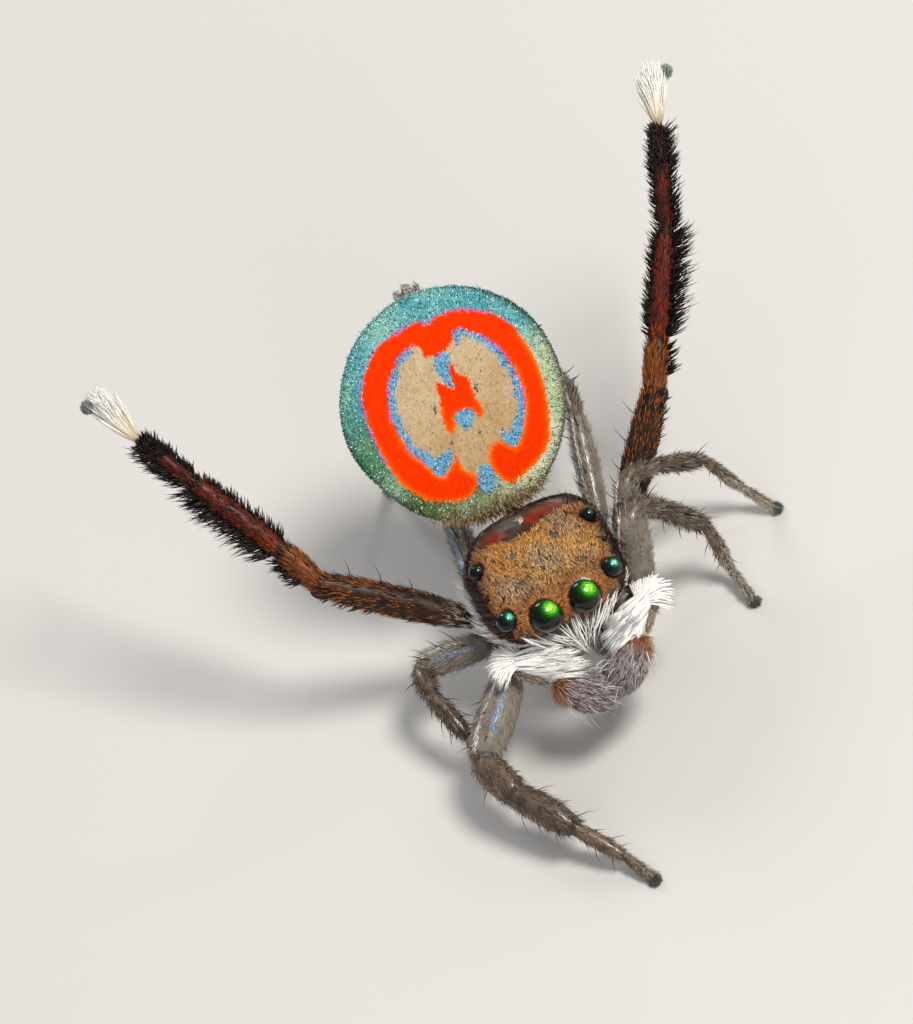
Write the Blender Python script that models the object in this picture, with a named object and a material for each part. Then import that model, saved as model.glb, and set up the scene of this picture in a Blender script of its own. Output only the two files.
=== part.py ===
# Peacock spider, a male in display, as a still model at life size.
# The model faces -Y with +Z up, and its own left side is +X. Every size below is
# in millimetres from the midpoint between the two large front eyes. The finished
# pieces are scaled to metres and set with their lowest point on the floor.

import math
import random

import bmesh
import bpy
from mathutils import Matrix, Vector

MM = 0.001
EYE_HEIGHT = 1.80        # large front eyes above the floor
GAP = 0.02               # clear space between neighbouring pieces
FLOOR = -EYE_HEIGHT

# Head and thorax
SHELL_STATIONS = (       # y, half width, top, bottom of the carapace
    (-0.08, 0.44, 0.02, -0.30),
    (-0.04, 0.60, 0.12, -0.38),
    (0.05, 0.71, 0.20, -0.46),
    (0.20, 0.77, 0.255, -0.53),
    (0.50, 0.81, 0.30, -0.59),
    (0.90, 0.82, 0.31, -0.60),
    (1.20, 0.81, 0.25, -0.60),
    (1.46, 0.74, 0.11, -0.60),
    (1.66, 0.61, -0.09, -0.59),
    (1.80, 0.43, -0.27, -0.56),
    (1.87, 0.25, -0.37, -0.50),
)
STERNUM_STATIONS = (
    (0.02, 0.24, -0.63, -0.92),
    (0.12, 0.31, -0.63, -0.95),
    (0.45, 0.36, -0.63, -0.90),
    (0.95, 0.37, -0.63, -0.87),
    (1.40, 0.30, -0.63, -0.84),
    (1.60, 0.16, -0.63, -0.78),
)
SHELL_SIDES = 24
SHELL_SQUARENESS = 2.35
EYES = {                 # x, y, z of the centre, radius; the left eye of each pair
    "front_middle": (0.25, 0.00, -0.01, 0.210),
    "front_outer": (0.685, 0.140, 0.045, 0.130),
    "small": (0.765, 0.560, 0.050, 0.042),
    "rear": (0.730, 0.960, 0.090, 0.105),
}
EYE_FACETS = {"front_middle": (14, 9), "front_outer": (12, 8), "small": (8, 6), "rear": (12, 8)}
SOCKET_FACETS = {"front_middle": (12, 8), "front_outer": (10, 6), "small": (8, 6), "rear": (10, 6)}
CHELICERA = {"x": 0.185, "y": -0.02, "top": -0.55, "bottom": -1.06, "wide": 0.145, "deep": 0.125}

# Abdomen, raised behind the head, with its flat patterned fan facing forward
FAN_CENTRE = Vector((-0.09, 2.56, 1.086))
FAN_TILT = math.radians(58)      # its long axis above the level
FAN_TWIST = math.radians(-6)     # turn about its own normal
FAN_RADII = (            # from its centre to its rim, every 30 degrees from its left side up
    1.35, 1.41, 1.45, 1.46, 1.41, 1.34, 1.31, 1.29, 1.39, 1.44, 1.43, 1.36)
FAN_SIDES = 36
FAN_FRONT = 0.11                 # how far its front face bulges
FAN_BACK = 0.07
BELLY_HALF_WIDTH = 0.93
BELLY_HALF_LENGTH = 1.20
BELLY_DEPTH = 0.52
BELLY_SET_BACK = 0.28
SPINNERET_REACH = 1.52
SPINNERET_SET_BACK = 0.30
SPINNERET_ROOT = 0.28            # how deep in the abdomen they start
SPINNERETS = (           # to its left, forward, radius, how much shorter
    (0.0, 0.0, 0.085, 0.0), (0.13, -0.05, 0.06, 0.06), (-0.13, -0.05, 0.06, 0.06))
WAIST = ((0.0, 0.11), (0.35, 0.085), (0.75, 0.10), (1.0, 0.12))   # place along it, radius
WAIST_START = Vector((0, 1.88, -0.46))

# Legs: the joint centres of each leg, from the body out to the claw tuft
LEGS = {
    "leg_1_left": (
        (0.42, 0.32, -0.77), (0.88, 0.33, -0.84), (1.19, 0.65, 0.21), (1.48, 0.90, -0.28),
        (1.91, 0.85, -0.95), (1.93, 0.64, -1.57), (2.00, 0.17, -1.75)),
    "leg_2_left": (
        (0.42, 0.69, -0.77), (0.90, 0.70, -0.84), (1.32, 1.17, 0.16), (1.71, 1.46, -0.28),
        (2.25, 1.65, -0.82), (2.48, 1.52, -1.39), (2.74, 1.27, -1.75)),
    "leg_3_left": (
        (0.42, 1.07, -0.77), (0.96, 1.10, -0.72), (2.10, 2.01, 0.31), (2.40, 2.38, 0.62),
        (3.09, 3.24, 1.34), (3.56, 4.09, 2.05), (3.80, 4.52, 2.41)),
    "leg_4_left": (
        (0.36, 1.44, -0.77), (0.82, 1.52, -0.80), (1.16, 2.72, -0.27), (1.22, 3.22, -0.36),
        (1.14, 3.90, -0.84), (0.99, 4.18, -1.46), (0.91, 4.34, -1.75)),
    "leg_1_right": (
        (-0.42, 0.32, -0.77), (-0.90, 0.20, -0.86), (-1.71, -0.66, -1.08), (-1.52, -1.26, -1.14),
        (-1.08, -1.96, -1.36), (-0.73, -2.45, -1.62), (-0.55, -2.84, -1.74)),
    "leg_2_right": (
        (-0.42, 0.69, -0.77), (-0.94, 0.70, -0.86), (-1.85, 1.00, -1.00), (-1.87, 0.52, -0.96),
        (-1.72, -0.10, -1.20), (-1.60, -0.44, -1.58), (-1.58, -0.66, -1.75)),
    "leg_3_right": (
        (-0.42, 1.07, -0.77), (-1.00, 0.98, -0.68), (-2.44, 1.71, 0.36), (-2.64, 2.12, 0.70),
        (-3.20, 3.04, 1.47), (-3.51, 3.57, 1.92), (-3.74, 4.08, 2.34)),
    "leg_4_right": (
        (-0.36, 1.44, -0.77), (-0.82, 1.52, -0.82), (-0.66, 2.62, -0.62), (-0.74, 3.08, -0.58),
        (-0.98, 3.74, -0.94), (-1.13, 4.08, -1.48), (-1.19, 4.26, -1.75)),
}
SEGMENTS = ("coxa", "femur", "patella", "tibia", "metatarsus", "tarsus")
THICKNESS = {            # radius of each segment at its thickest
    "leg_1_left": (0.140, 0.205, 0.150, 0.135, 0.085, 0.062),
    "leg_2_left": (0.140, 0.160, 0.120, 0.115, 0.078, 0.058),
    "leg_3_left": (0.140, 0.190, 0.160, 0.150, 0.108, 0.068),
    "leg_4_left": (0.140, 0.155, 0.118, 0.110, 0.075, 0.056),
    "leg_1_right": (0.140, 0.255, 0.200, 0.190, 0.105, 0.070),
    "leg_2_right": (0.140, 0.185, 0.135, 0.120, 0.080, 0.060),
    "leg_3_right": (0.140, 0.190, 0.160, 0.150, 0.108, 0.068),
    "leg_4_right": (0.140, 0.155, 0.118, 0.110, 0.075, 0.056),
}
LEG_SIDES = 8
SHARP_TURN = 0.95        # a joint that bends further than this is a ball and socket
NEXT_TO = 0.0001         # how near a joint the two points of a sharp one are numbered
KNOB = 1.04              # a knob's radius over the limb's
LEG_NODES = {            # which segments make one piece
    "femur": ("coxa", "femur"),
    "tibia": ("patella", "tibia"),
    "foot": ("metatarsus", "tarsus"),
}
DISPLAY_LEG_NODES = {
    "femur": ("coxa", "femur"),
    "patella": ("patella",),
    "tibia": ("tibia",),
    "metatarsus": ("metatarsus",),
    "tarsus": ("tarsus",),
}
FOOT_PAD = 0.075         # radius of the claw tuft that meets the floor
PAD_HEIGHT = 0.050       # its centre above the floor
TUFT_PAD = 0.085         # claw tuft of a raised leg

DISPLAY_FACE = Vector((0, -0.643, 0.766))   # the side of a raised leg turned to the front

# Spines: segment number plus place along it, angle from the upper side, length.
# On a raised leg the angle runs from its outer side instead.
SPINES = {
    "femur": ((1.35, -18, 0.26), (1.58, 16, 0.30), (1.80, -26, 0.28), (1.86, 34, 0.24)),
    "tibia": ((3.22, 125, 0.24), (3.50, -128, 0.26), (3.74, 118, 0.24), (3.64, 20, 0.20)),
    "foot": ((4.18, 122, 0.22), (4.40, -120, 0.24), (4.66, 128, 0.20), (4.80, -62, 0.16)),
}
RAISED_SPINES = ((1.42, 168, 0.30), (1.64, 192, 0.34), (1.84, 160, 0.26))
SPINE_WIDTH = 0.017
SPINE_LEAN = math.radians(30)    # towards the foot, from straight out
ROOT_PLACE = 0.84                # where a spine's surface point lies, in limb radii
ROOT_DEPTH = 0.32                # how deep its root is sunk, in limb radii

# Brushes of a raised leg: angle round the limb from its outer side, length, lean
# towards the tip in degrees from straight out, and the count along the segment
BRUSHES = {
    "patella": ((2.18, 2.86), ((-34, 0.24, 30, 4), (2, 0.27, 30, 5), (38, 0.22, 32, 4))),
    "tibia": ((3.07, 3.84), (
        (-58, 0.27, 40, 9), (-26, 0.33, 38, 10), (6, 0.34, 38, 11), (38, 0.27, 42, 10),
        (150, 0.15, 48, 9), (182, 0.18, 46, 10), (216, 0.16, 48, 9))),
    "metatarsus": ((4.10, 4.86), (
        (-48, 0.20, 46, 7), (-8, 0.25, 44, 8), (34, 0.21, 46, 8),
        (146, 0.15, 50, 7), (186, 0.18, 48, 8), (226, 0.16, 50, 7))),
}
BRISTLE_WIDTH = 0.021

# White tuft of a raised foot: rings of locks, each by place, count, length and spread
TUFT_RINGS = ((5.08, 7, 0.46, 20), (5.42, 7, 0.40, 22))
TUFT_LOCK = (0.130, 0.034)       # width and thickness of a lock of the foot tuft
PALP_LOCK = (0.125, 0.032)       # the same along a palp
KNEE_LOCK = (0.060, 0.026)       # the same over its knee

LOCK_TAPER = (0.70, 1.0, 0.84, 0.26)   # width of a lock from its root to its tip

# Palps: joint centres from the mouth, and the two ends of the bulb
PALPS = {
    "left": {"joints": ((0.46, 0.08, -0.84), (0.96, 0.02, -0.62), (0.66, -0.25, -0.72)),
             "bulb": ((0.61, -0.31, -0.735), (0.065, -0.78, -0.90))},
    "right": {"joints": ((-0.46, 0.08, -0.84), (-0.90, 0.05, -0.58), (-0.55, -0.28, -0.70)),
              "bulb": ((-0.50, -0.36, -0.735), (0.0, -0.86, -0.91))},
}
PALP_THICKNESS = (0.095, 0.120)
PALP_SIDES = 10
PALP_INWARD = Vector((-0.87, -0.49, 0))    # the way the left one's locks lie, seen from above
BULB_HALF_WIDTH = 0.245
BULB_SIDES = 12
BULB_PROFILE = (         # place from root to tip, share of the half width
    (0.03, 0.50), (0.14, 0.78), (0.34, 0.98), (0.56, 1.0), (0.76, 0.86), (0.90, 0.60), (0.985, 0.26))
PALP_ROWS = (            # shift to the front, height over the arm, reach inward, lift at the tip, count
    (0.080, 0.020, 0.42, 0.02, 4),
    (0.015, 0.055, 0.50, 0.05, 5),
    (-0.065, 0.035, 0.44, 0.13, 5),
)
KNEE_FAN = {"count": 7, "length": 0.31, "droop": 0.20}


# Turns a mesh under construction into an object of its own.
def make_object(name, bm, collection):
    bmesh.ops.recalc_face_normals(bm, faces=bm.faces)
    mesh = bpy.data.meshes.new(name)
    bm.to_mesh(mesh)
    bm.free()
    made = bpy.data.objects.new(name, mesh)
    collection.objects.link(made)
    return made


# A closed body through a row of rings, with a flat face at each end.
def loft(rings):
    bm = bmesh.new()
    rows = [[bm.verts.new(point) for point in ring] for ring in rings]
    count = len(rows[0])
    for low, high in zip(rows, rows[1:]):
        for i in range(count):
            j = (i + 1) % count
            bm.faces.new((low[i], low[j], high[j], high[i]))
    bm.faces.new(rows[0][::-1])
    bm.faces.new(rows[-1])
    return bm


# One rounded cross section standing across the Y axis.
def section(y, half_width, top, bottom, sides, power):
    ring = []
    middle = (top + bottom) / 2
    half = (top - bottom) / 2
    for i in range(sides):
        angle = 2 * math.pi * i / sides
        c, s = math.cos(angle), math.sin(angle)
        x = half_width * math.copysign(abs(c) ** (2 / power), c)
        z = half * math.copysign(abs(s) ** (2 / power), s)
        ring.append(Vector((x, y, middle + z)))
    return ring


# A ball, stretched along the three directions given.
def ball(centre, axes, around, along):
    bm = bmesh.new()
    turn = Matrix([list(axis) for axis in axes]).transposed().to_4x4()
    bmesh.ops.create_uvsphere(bm, u_segments=around, v_segments=along, radius=1.0,
                              matrix=Matrix.Translation(centre) @ turn)
    return bm


# A ball as round as its facets allow.
def round_ball(centre, radius, around, along):
    return ball(centre, ((radius, 0, 0), (0, radius, 0), (0, 0, radius)), around, along)


# Keeps the side of a body that the normal points away from, and closes the cut.
def slice_off(bm, point, normal):
    geometry = bm.verts[:] + bm.edges[:] + bm.faces[:]
    cut = bmesh.ops.bisect_plane(bm, geom=geometry, dist=1e-5, plane_co=point,
                                 plane_no=normal, clear_outer=True)
    edges = [e for e in cut["geom_cut"] if isinstance(e, bmesh.types.BMEdge)]
    bmesh.ops.edgenet_fill(bm, edges=edges)


# Two directions square to a third, turned as little as can be from a hint.
def frame_across(direction, hint):
    side = direction.cross(hint)
    if side.length < 1e-6:
        side = direction.orthogonal()
    side.normalize()
    return side, side.cross(direction).normalized()


# The centre line of a limb, rounded at each gentle joint and passing through it.
# Each point comes with its direction and its place: joint number plus fraction.
# A sharp joint has two points, one for each of the directions that meet there.
def limb_line(joints, radii):
    joints = [Vector(j) for j in joints]
    last = len(joints) - 1
    line = []
    for k, joint in enumerate(joints):
        before = joint - joints[k - 1] if k > 0 else None
        after = joints[k + 1] - joint if k < last else None
        if before is None or after is None:
            line.append((joint, (after or before).normalized(), float(k)))
        elif before.angle(after) > SHARP_TURN:
            line.append((joint, before.normalized(), k - NEXT_TO))
            line.append((joint, after.normalized(), k + NEXT_TO))
        else:
            turn = before.angle(after)
            reach = min(0.38 * before.length, 0.38 * after.length,
                        max(radii[k - 1], radii[k]) * (0.25 + 1.1 * math.tan(turn / 2)))
            start = joint - before.normalized() * reach
            end = joint + after.normalized() * reach
            control = joint * 2 - (start + end) / 2
            for t in (0.0, 0.5, 1.0):
                place = start * (1 - t) ** 2 + control * 2 * t * (1 - t) + end * t * t
                slope = (control - start) * (1 - t) + (end - control) * t
                part = k - (0.5 - t) * 2 * reach / (before.length if t < 0.5 else after.length)
                line.append((place, slope.normalized(), part))
        if after is not None:
            line.append(((joint + joints[k + 1]) / 2, after.normalized(), k + 0.5))
            if after.length > 0.9:
                line.insert(-1, (joint.lerp(joints[k + 1], 0.25), after.normalized(), k + 0.25))
                line.append((joint.lerp(joints[k + 1], 0.75), after.normalized(), k + 0.75))
    return line


# Radius of a limb at a place along it: thick in mid segment, slimmer at joints.
def limb_radius(place, radii):
    k = min(int(place), len(radii) - 1)
    f = place - k
    here = radii[k]
    if f < 0.5:
        other = radii[max(k - 1, 0)]
    else:
        other = radii[min(k + 1, len(radii) - 1)]
    joint = 0.86 * min(here, other)
    swell = math.sin(math.pi * min(max(f, 0.0), 1.0)) ** 0.6
    return joint + (here - joint) * swell


# One unbroken run of a limb's centre line as a closed tube.
def tube(points, radii, sides):
    hint = Vector((0.13, 0.21, 1.0))
    rings = []
    for place, direction, part in points:
        side, up = frame_across(direction, hint)
        hint = up
        radius = limb_radius(part, radii)
        rings.append([place + (side * math.cos(a) + up * math.sin(a)) * radius
                      for a in (2 * math.pi * (s + 0.5) / sides for s in range(sides))])
    return loft(rings)


# The stretch of a limb between two joints as closed bodies, and what to cut from it.
# A gentle joint is trimmed by half a gap. A sharp one is a ball and a socket.
def limb_bodies(line, radii, first, last, sides=LEG_SIDES, open_end=False):
    points = [list(p) for p in line if first - 2 * NEXT_TO <= p[2] <= last + 2 * NEXT_TO]
    sharp_start = points[0][2] < first < points[1][2] and points[1][2] - first < 2 * NEXT_TO
    sharp_end = points[-1][2] > last > points[-2][2] and last - points[-2][2] < 2 * NEXT_TO
    if sharp_start:
        points.pop(0)
    else:
        points[0][0] = points[0][0] + points[0][1] * GAP / 2
    if sharp_end:
        points.pop()
    elif not open_end:
        points[-1][0] = points[-1][0] - points[-1][1] * GAP / 2
    runs = [[]]
    for point in points:
        if runs[-1] and point[2] - runs[-1][-1][2] < 3 * NEXT_TO:
            runs.append([])
        runs[-1].append(point)
    bodies = [tube(run, radii, sides) for run in runs]
    for run in runs[1:]:
        bodies.append(knob(run[0], radii, 0.0))
    if sharp_end:
        bodies.append(knob(points[-1], radii, 0.0))
    sockets = [knob(points[0], radii, GAP)] if sharp_start else []
    return bodies, sockets


# The round knob of a sharp joint, or its socket when grown by a gap.
def knob(point, radii, grow):
    place, direction, part = point
    size = limb_radius(part, radii) * KNOB + grow
    side, up = frame_across(direction, Vector((0.13, 0.21, 1.0)))
    return ball(place, (side * size, up * size, direction * size), 10, 8)


# Where a place on a limb lies: its centre, direction and radius.
def limb_at(line, radii, part):
    for (p0, d0, k0), (p1, d1, k1) in zip(line, line[1:]):
        if k0 <= part <= k1:
            f = (part - k0) / max(k1 - k0, 1e-9)
            return p0.lerp(p1, f), d0.lerp(d1, f).normalized(), limb_radius(part, radii)
    return line[-1][0], line[-1][1], limb_radius(part, radii)


# The direction straight out of a limb at an angle from a given side of it.
def round_limb(direction, reference, degrees):
    flat = (reference - direction * reference.dot(direction)).normalized()
    other = direction.cross(flat)
    a = math.radians(degrees)
    return flat * math.cos(a) + other * math.sin(a)


# A tapered spike with its root sunk below the surface it stands on.
def spike(root, direction, length, width, sink, sides=3):
    bm = bmesh.new()
    turn = direction.to_track_quat("Z", "Y").to_matrix().to_4x4()
    middle = root + direction * (length - sink) / 2
    bmesh.ops.create_cone(bm, cap_ends=True, segments=sides, radius1=width, radius2=0.0,
                          depth=length + sink, matrix=Matrix.Translation(middle) @ turn)
    return bm


# A flat tapered lock of hair that bends from its root to its tip.
def lock(root, bend, tip, size, facing, steps=3):
    width, thickness = size
    rings = []
    for i in range(steps + 1):
        t = i / steps
        place = root * (1 - t) ** 2 + bend * 2 * t * (1 - t) + tip * t * t
        slope = ((bend - root) * (1 - t) + (tip - bend) * t).normalized()
        side = slope.cross(facing).normalized()
        up = side.cross(slope)
        taper = LOCK_TAPER[i]
        rings.append([place + side * width * taper / 2, place + up * thickness * taper / 2,
                      place - side * width * taper / 2, place - up * thickness * taper / 2])
    return loft(rings)


# Joins closed bodies into one object and keeps its largest closed surface.
def fuse(name, bodies, collection):
    if len(bodies) == 1:
        return make_object(name, bodies[0], collection)
    base = make_object(name, bodies[0], collection)
    extra = bpy.data.collections.new(name + "_extra")
    bpy.context.scene.collection.children.link(extra)
    for i, bm in enumerate(bodies[1:]):
        make_object("%s_add_%d" % (name, i), bm, extra)
    join = base.modifiers.new("join", "BOOLEAN")
    join.operation = "UNION"
    join.operand_type = "COLLECTION"
    join.collection = extra
    join.solver = "MANIFOLD"
    apply_modifiers(base)
    for piece in list(extra.objects):
        bpy.data.objects.remove(piece)
    bpy.data.collections.remove(extra)
    keep_largest(base)
    return base


# Cuts bodies out of an object, and keeps its largest closed surface.
def carve(base, bodies):
    cutters = bpy.data.collections.new(base.name + "_cutters")
    bpy.context.scene.collection.children.link(cutters)
    for i, bm in enumerate(bodies):
        make_object("%s_cut_%d" % (base.name, i), bm, cutters)
    cut = base.modifiers.new("cut", "BOOLEAN")
    cut.operation = "DIFFERENCE"
    cut.operand_type = "COLLECTION"
    cut.collection = cutters
    cut.solver = "MANIFOLD"
    apply_modifiers(base)
    for piece in list(cutters.objects):
        bpy.data.objects.remove(piece)
    bpy.data.collections.remove(cutters)
    keep_largest(base)


# Replaces an object's mesh by what its modifiers make of it.
def apply_modifiers(made):
    bpy.context.view_layer.update()
    graph = bpy.context.evaluated_depsgraph_get()
    mesh = bpy.data.meshes.new_from_object(made.evaluated_get(graph))
    old = made.data
    made.modifiers.clear()
    made.data = mesh
    mesh.name = made.name
    bpy.data.meshes.remove(old)


# Drops every closed surface of a mesh but the one of the greatest volume.
def keep_largest(made):
    bm = bmesh.new()
    bm.from_mesh(made.data)
    bmesh.ops.triangulate(bm, faces=bm.faces)
    bmesh.ops.remove_doubles(bm, verts=bm.verts, dist=2e-5)
    bmesh.ops.dissolve_degenerate(bm, dist=2e-5, edges=bm.edges)
    groups = []
    seen = set()
    for start in bm.faces:
        if start in seen:
            continue
        group = []
        queue = [start]
        seen.add(start)
        while queue:
            face = queue.pop()
            group.append(face)
            for edge in face.edges:
                for other in edge.link_faces:
                    if other not in seen:
                        seen.add(other)
                        queue.append(other)
        groups.append(group)
    groups.sort(key=closed_volume)
    drop = [face for group in groups[:-1] for face in group]
    bmesh.ops.delete(bm, geom=drop, context="FACES")
    bm.to_mesh(made.data)
    bm.free()


# Volume inside one group of faces.
def closed_volume(faces):
    total = 0.0
    for face in faces:
        corners = [v.co for v in face.verts]
        for i in range(1, len(corners) - 1):
            total += corners[0].dot(corners[i].cross(corners[i + 1])) / 6
    return abs(total)


# The carapace, with a socket for each eye.
def make_carapace(collection):
    rings = [section(*station, SHELL_SIDES, SHELL_SQUARENESS) for station in SHELL_STATIONS]
    shell = make_object("carapace", loft(rings), collection)
    sockets = []
    for name, (x, y, z, radius) in EYES.items():
        for side in (1, -1):
            sockets.append(round_ball(Vector((side * x, y, z)), radius + GAP, *SOCKET_FACETS[name]))
    carve(shell, sockets)
    return shell


# The eight eyes, each a ball in its socket.
def make_eyes(collection):
    for name, (x, y, z, radius) in EYES.items():
        for word, side in (("left", 1), ("right", -1)):
            body = round_ball(Vector((side * x, y, z)), radius, *EYE_FACETS[name])
            make_object("eye_%s_%s" % (name, word), body, collection)


# The sternum with the mouthparts, under the carapace.
def make_sternum(collection):
    rings = [section(*station, 16, 2.4) for station in STERNUM_STATIONS]
    make_object("sternum", loft(rings), collection)


# The two jaws below the face.
def make_chelicerae(collection):
    c = CHELICERA
    for word, side in (("left", 1), ("right", -1)):
        rings = []
        for k in range(6):
            t = k / 5
            z = c["top"] + (c["bottom"] - c["top"]) * t
            swell = math.sin(math.pi * (0.22 + 0.66 * t)) ** 0.5
            ring = []
            for i in range(12):
                a = 2 * math.pi * i / 12
                ring.append(Vector((side * c["x"] + c["wide"] * swell * math.cos(a),
                                    c["y"] + c["deep"] * swell * math.sin(a), z)))
            rings.append(ring)
        make_object("chelicera_" + word, loft(rings), collection)


# The three directions of the fan: across, along and out of its face.
def fan_frame():
    along = Vector((0, math.cos(FAN_TILT), math.sin(FAN_TILT)))
    out = Vector((0, -math.sin(FAN_TILT), math.cos(FAN_TILT)))
    twist = Matrix.Rotation(FAN_TWIST, 3, out)
    return twist @ Vector((1, 0, 0)), twist @ along, out


# Distance from the fan's centre to its rim, smoothly between the radii given.
def fan_radius(angle):
    count = len(FAN_RADII)
    place = (angle % (2 * math.pi)) / (2 * math.pi) * count
    k = int(place) % count
    f = place - int(place)
    a, b, c, d = (FAN_RADII[(k + i) % count] for i in (-1, 0, 1, 2))
    return b + 0.5 * f * (c - a + f * (2 * a - 5 * b + 4 * c - d + f * (3 * (b - c) + d - a)))


# The flat fan: a round plate with a bulging face and a flat back.
def make_fan(collection):
    across, along, out = fan_frame()
    rings = []
    steps = ((0.60, -FAN_BACK), (0.90, -FAN_BACK), (0.985, -0.6 * FAN_BACK), (1.0, -0.1 * FAN_BACK),
             (0.985, 0.42 * FAN_FRONT), (0.93, 0.68 * FAN_FRONT), (0.72, 0.88 * FAN_FRONT),
             (0.40, FAN_FRONT))
    for size, height in steps:
        ring = []
        for i in range(FAN_SIDES):
            a = 2 * math.pi * i / FAN_SIDES
            reach = fan_radius(a) * size
            ring.append(FAN_CENTRE + across * reach * math.cos(a)
                        + along * reach * math.sin(a) + out * height)
        rings.append(ring)
    make_object("abdomen_fan", loft(rings), collection)


# The whole rounded form that the abdomen is cut from, grown by a margin.
def belly_ball(margin):
    across, along, out = fan_frame()
    axes = (across * (BELLY_HALF_WIDTH + margin), out * -(BELLY_DEPTH + margin),
            along * (BELLY_HALF_LENGTH + margin))
    return ball(FAN_CENTRE - out * BELLY_SET_BACK, axes, 24, 14)


# The soft rounded abdomen behind the fan, cut flat where it meets it.
def make_belly(collection):
    across, along, out = fan_frame()
    body = belly_ball(0.0)
    slice_off(body, FAN_CENTRE - out * (FAN_BACK + GAP), out)
    make_object("abdomen", body, collection)


# The narrow waist between the two body halves.
def make_pedicel(collection):
    across, along, out = fan_frame()
    start = WAIST_START
    centre = FAN_CENTRE - out * BELLY_SET_BACK
    end = centre - along * (BELLY_HALF_LENGTH * 0.86) - out * BELLY_DEPTH * 0.62
    direction = (end - start).normalized()
    side, up = frame_across(direction, Vector((1, 0, 0)))
    rings = []
    for t, radius in WAIST:
        place = start.lerp(end - direction * GAP, t)
        rings.append([place + (side * math.cos(a) + up * math.sin(a)) * radius
                      for a in (2 * math.pi * i / 10 for i in range(10))])
    make_object("pedicel", loft(rings), collection)


# The spinnerets at the upper end of the abdomen.
def make_spinnerets(collection):
    across, along, out = fan_frame()
    foot = FAN_CENTRE + along * (BELLY_HALF_LENGTH - SPINNERET_ROOT) - out * SPINNERET_SET_BACK
    tip = FAN_CENTRE + along * SPINNERET_REACH - out * SPINNERET_SET_BACK
    bodies = []
    for dx, dout, r, short in SPINNERETS:
        start = foot + across * dx * 0.4 + out * dout
        end = tip + across * dx + out * dout - along * short
        direction = (end - start).normalized()
        side, up = frame_across(direction, out)
        rings = []
        for t, k in ((0, 1.0), (0.6, 1.0), (0.9, 0.75), (1.0, 0.4)):
            place = start.lerp(end, t)
            rings.append([place + (side * math.cos(a) + up * math.sin(a)) * r * k
                          for a in (2 * math.pi * i / 8 for i in range(8))])
        bodies.append(loft(rings))
    made = fuse("spinnerets", bodies, collection)
    carve(made, [belly_ball(GAP)])


# Long single spines on one piece of a leg.
def limb_spines(line, radii, spines, reference, chance):
    bodies = []
    for part, degrees, length in spines:
        centre, direction, radius = limb_at(line, radii, part + chance.uniform(-0.03, 0.03))
        out = round_limb(direction, reference, degrees + chance.uniform(-8, 8))
        way = out * math.cos(SPINE_LEAN) + direction * math.sin(SPINE_LEAN)
        bodies.append(spike(centre + out * radius * ROOT_PLACE, way, length, SPINE_WIDTH,
                            radius * ROOT_DEPTH))
    return bodies


# The rows of black bristles on one piece of a raised leg.
def limb_brush(line, radii, brush, reference, chance):
    (first, last), rows = brush
    bodies = []
    for number, (degrees, length, lean, count) in enumerate(rows):
        for i in range(count):
            part = first + (last - first) * (i + 0.5 * (number % 2)) / (count - 0.5)
            centre, direction, radius = limb_at(line, radii, part)
            out = round_limb(direction, reference, degrees + chance.uniform(-9, 9))
            a = math.radians(lean + chance.uniform(-7, 7))
            way = (out * math.cos(a) + direction * math.sin(a)).normalized()
            bodies.append(spike(centre + out * radius * ROOT_PLACE, way,
                                length * chance.uniform(0.85, 1.12), BRISTLE_WIDTH, radius * ROOT_DEPTH))
    return bodies


# The white tuft that hides a raised foot.
def foot_tuft(line, radii, reference, chance):
    bodies = []
    for number, (part, count, length, spread) in enumerate(TUFT_RINGS):
        centre, direction, radius = limb_at(line, radii, part)
        for i in range(count):
            degrees = 360 * (i + 0.5 * (number % 2)) / count + chance.uniform(-6, 6)
            out = round_limb(direction, reference, degrees)
            a = math.radians(spread + chance.uniform(-5, 5))
            way = direction * math.cos(a) + out * math.sin(a)
            size = length * chance.uniform(0.88, 1.10)
            root = centre + out * radius * 0.55
            tip = root + way * size
            bend = root + (direction * 0.75 + out * 0.66).normalized() * size * 0.42
            bodies.append(lock(root, bend, tip, TUFT_LOCK, out))
    return bodies


# One leg as a row of pieces, each from joint to joint.
def make_leg(name, collection):
    joints = LEGS[name]
    radii = THICKNESS[name]
    line = limb_line(joints, radii)
    raised = name.startswith("leg_3")
    outward = Vector((1, 0, 0)) if name.endswith("left") else Vector((-1, 0, 0))
    chance = random.Random(name)
    for piece, segments in (DISPLAY_LEG_NODES if raised else LEG_NODES).items():
        first = SEGMENTS.index(segments[0])
        last = SEGMENTS.index(segments[-1]) + 1
        bodies, sockets = limb_bodies(line, radii, first, last, open_end=last == len(SEGMENTS))
        if last == len(SEGMENTS):
            bodies.append(claw_tuft(joints[-1], raised))
        if raised:
            # angles run from the outer side through the side that faces forward
            side = outward - DISPLAY_FACE * outward.dot(DISPLAY_FACE)
            if piece in BRUSHES:
                bodies += limb_brush(line, radii, BRUSHES[piece], side, chance)
            if piece == "femur":
                bodies += limb_spines(line, radii, RAISED_SPINES, side, chance)
            if piece == "tarsus":
                bodies += foot_tuft(line, radii, side, chance)
        else:
            bodies += limb_spines(line, radii, SPINES[piece], Vector((0, 0, 1)), chance)
        made = fuse("%s_%s" % (name, piece), bodies, collection)
        if sockets:
            carve(made, sockets)
        if last == len(SEGMENTS) and not raised:
            stand_flat(made)


# The small dark pad of hair under the claws.
def claw_tuft(tip, raised):
    pad = TUFT_PAD if raised else FOOT_PAD
    centre = Vector(tip)
    if not raised:
        centre.z = FLOOR + PAD_HEIGHT
    return round_ball(centre, pad, 8, 6)


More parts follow.
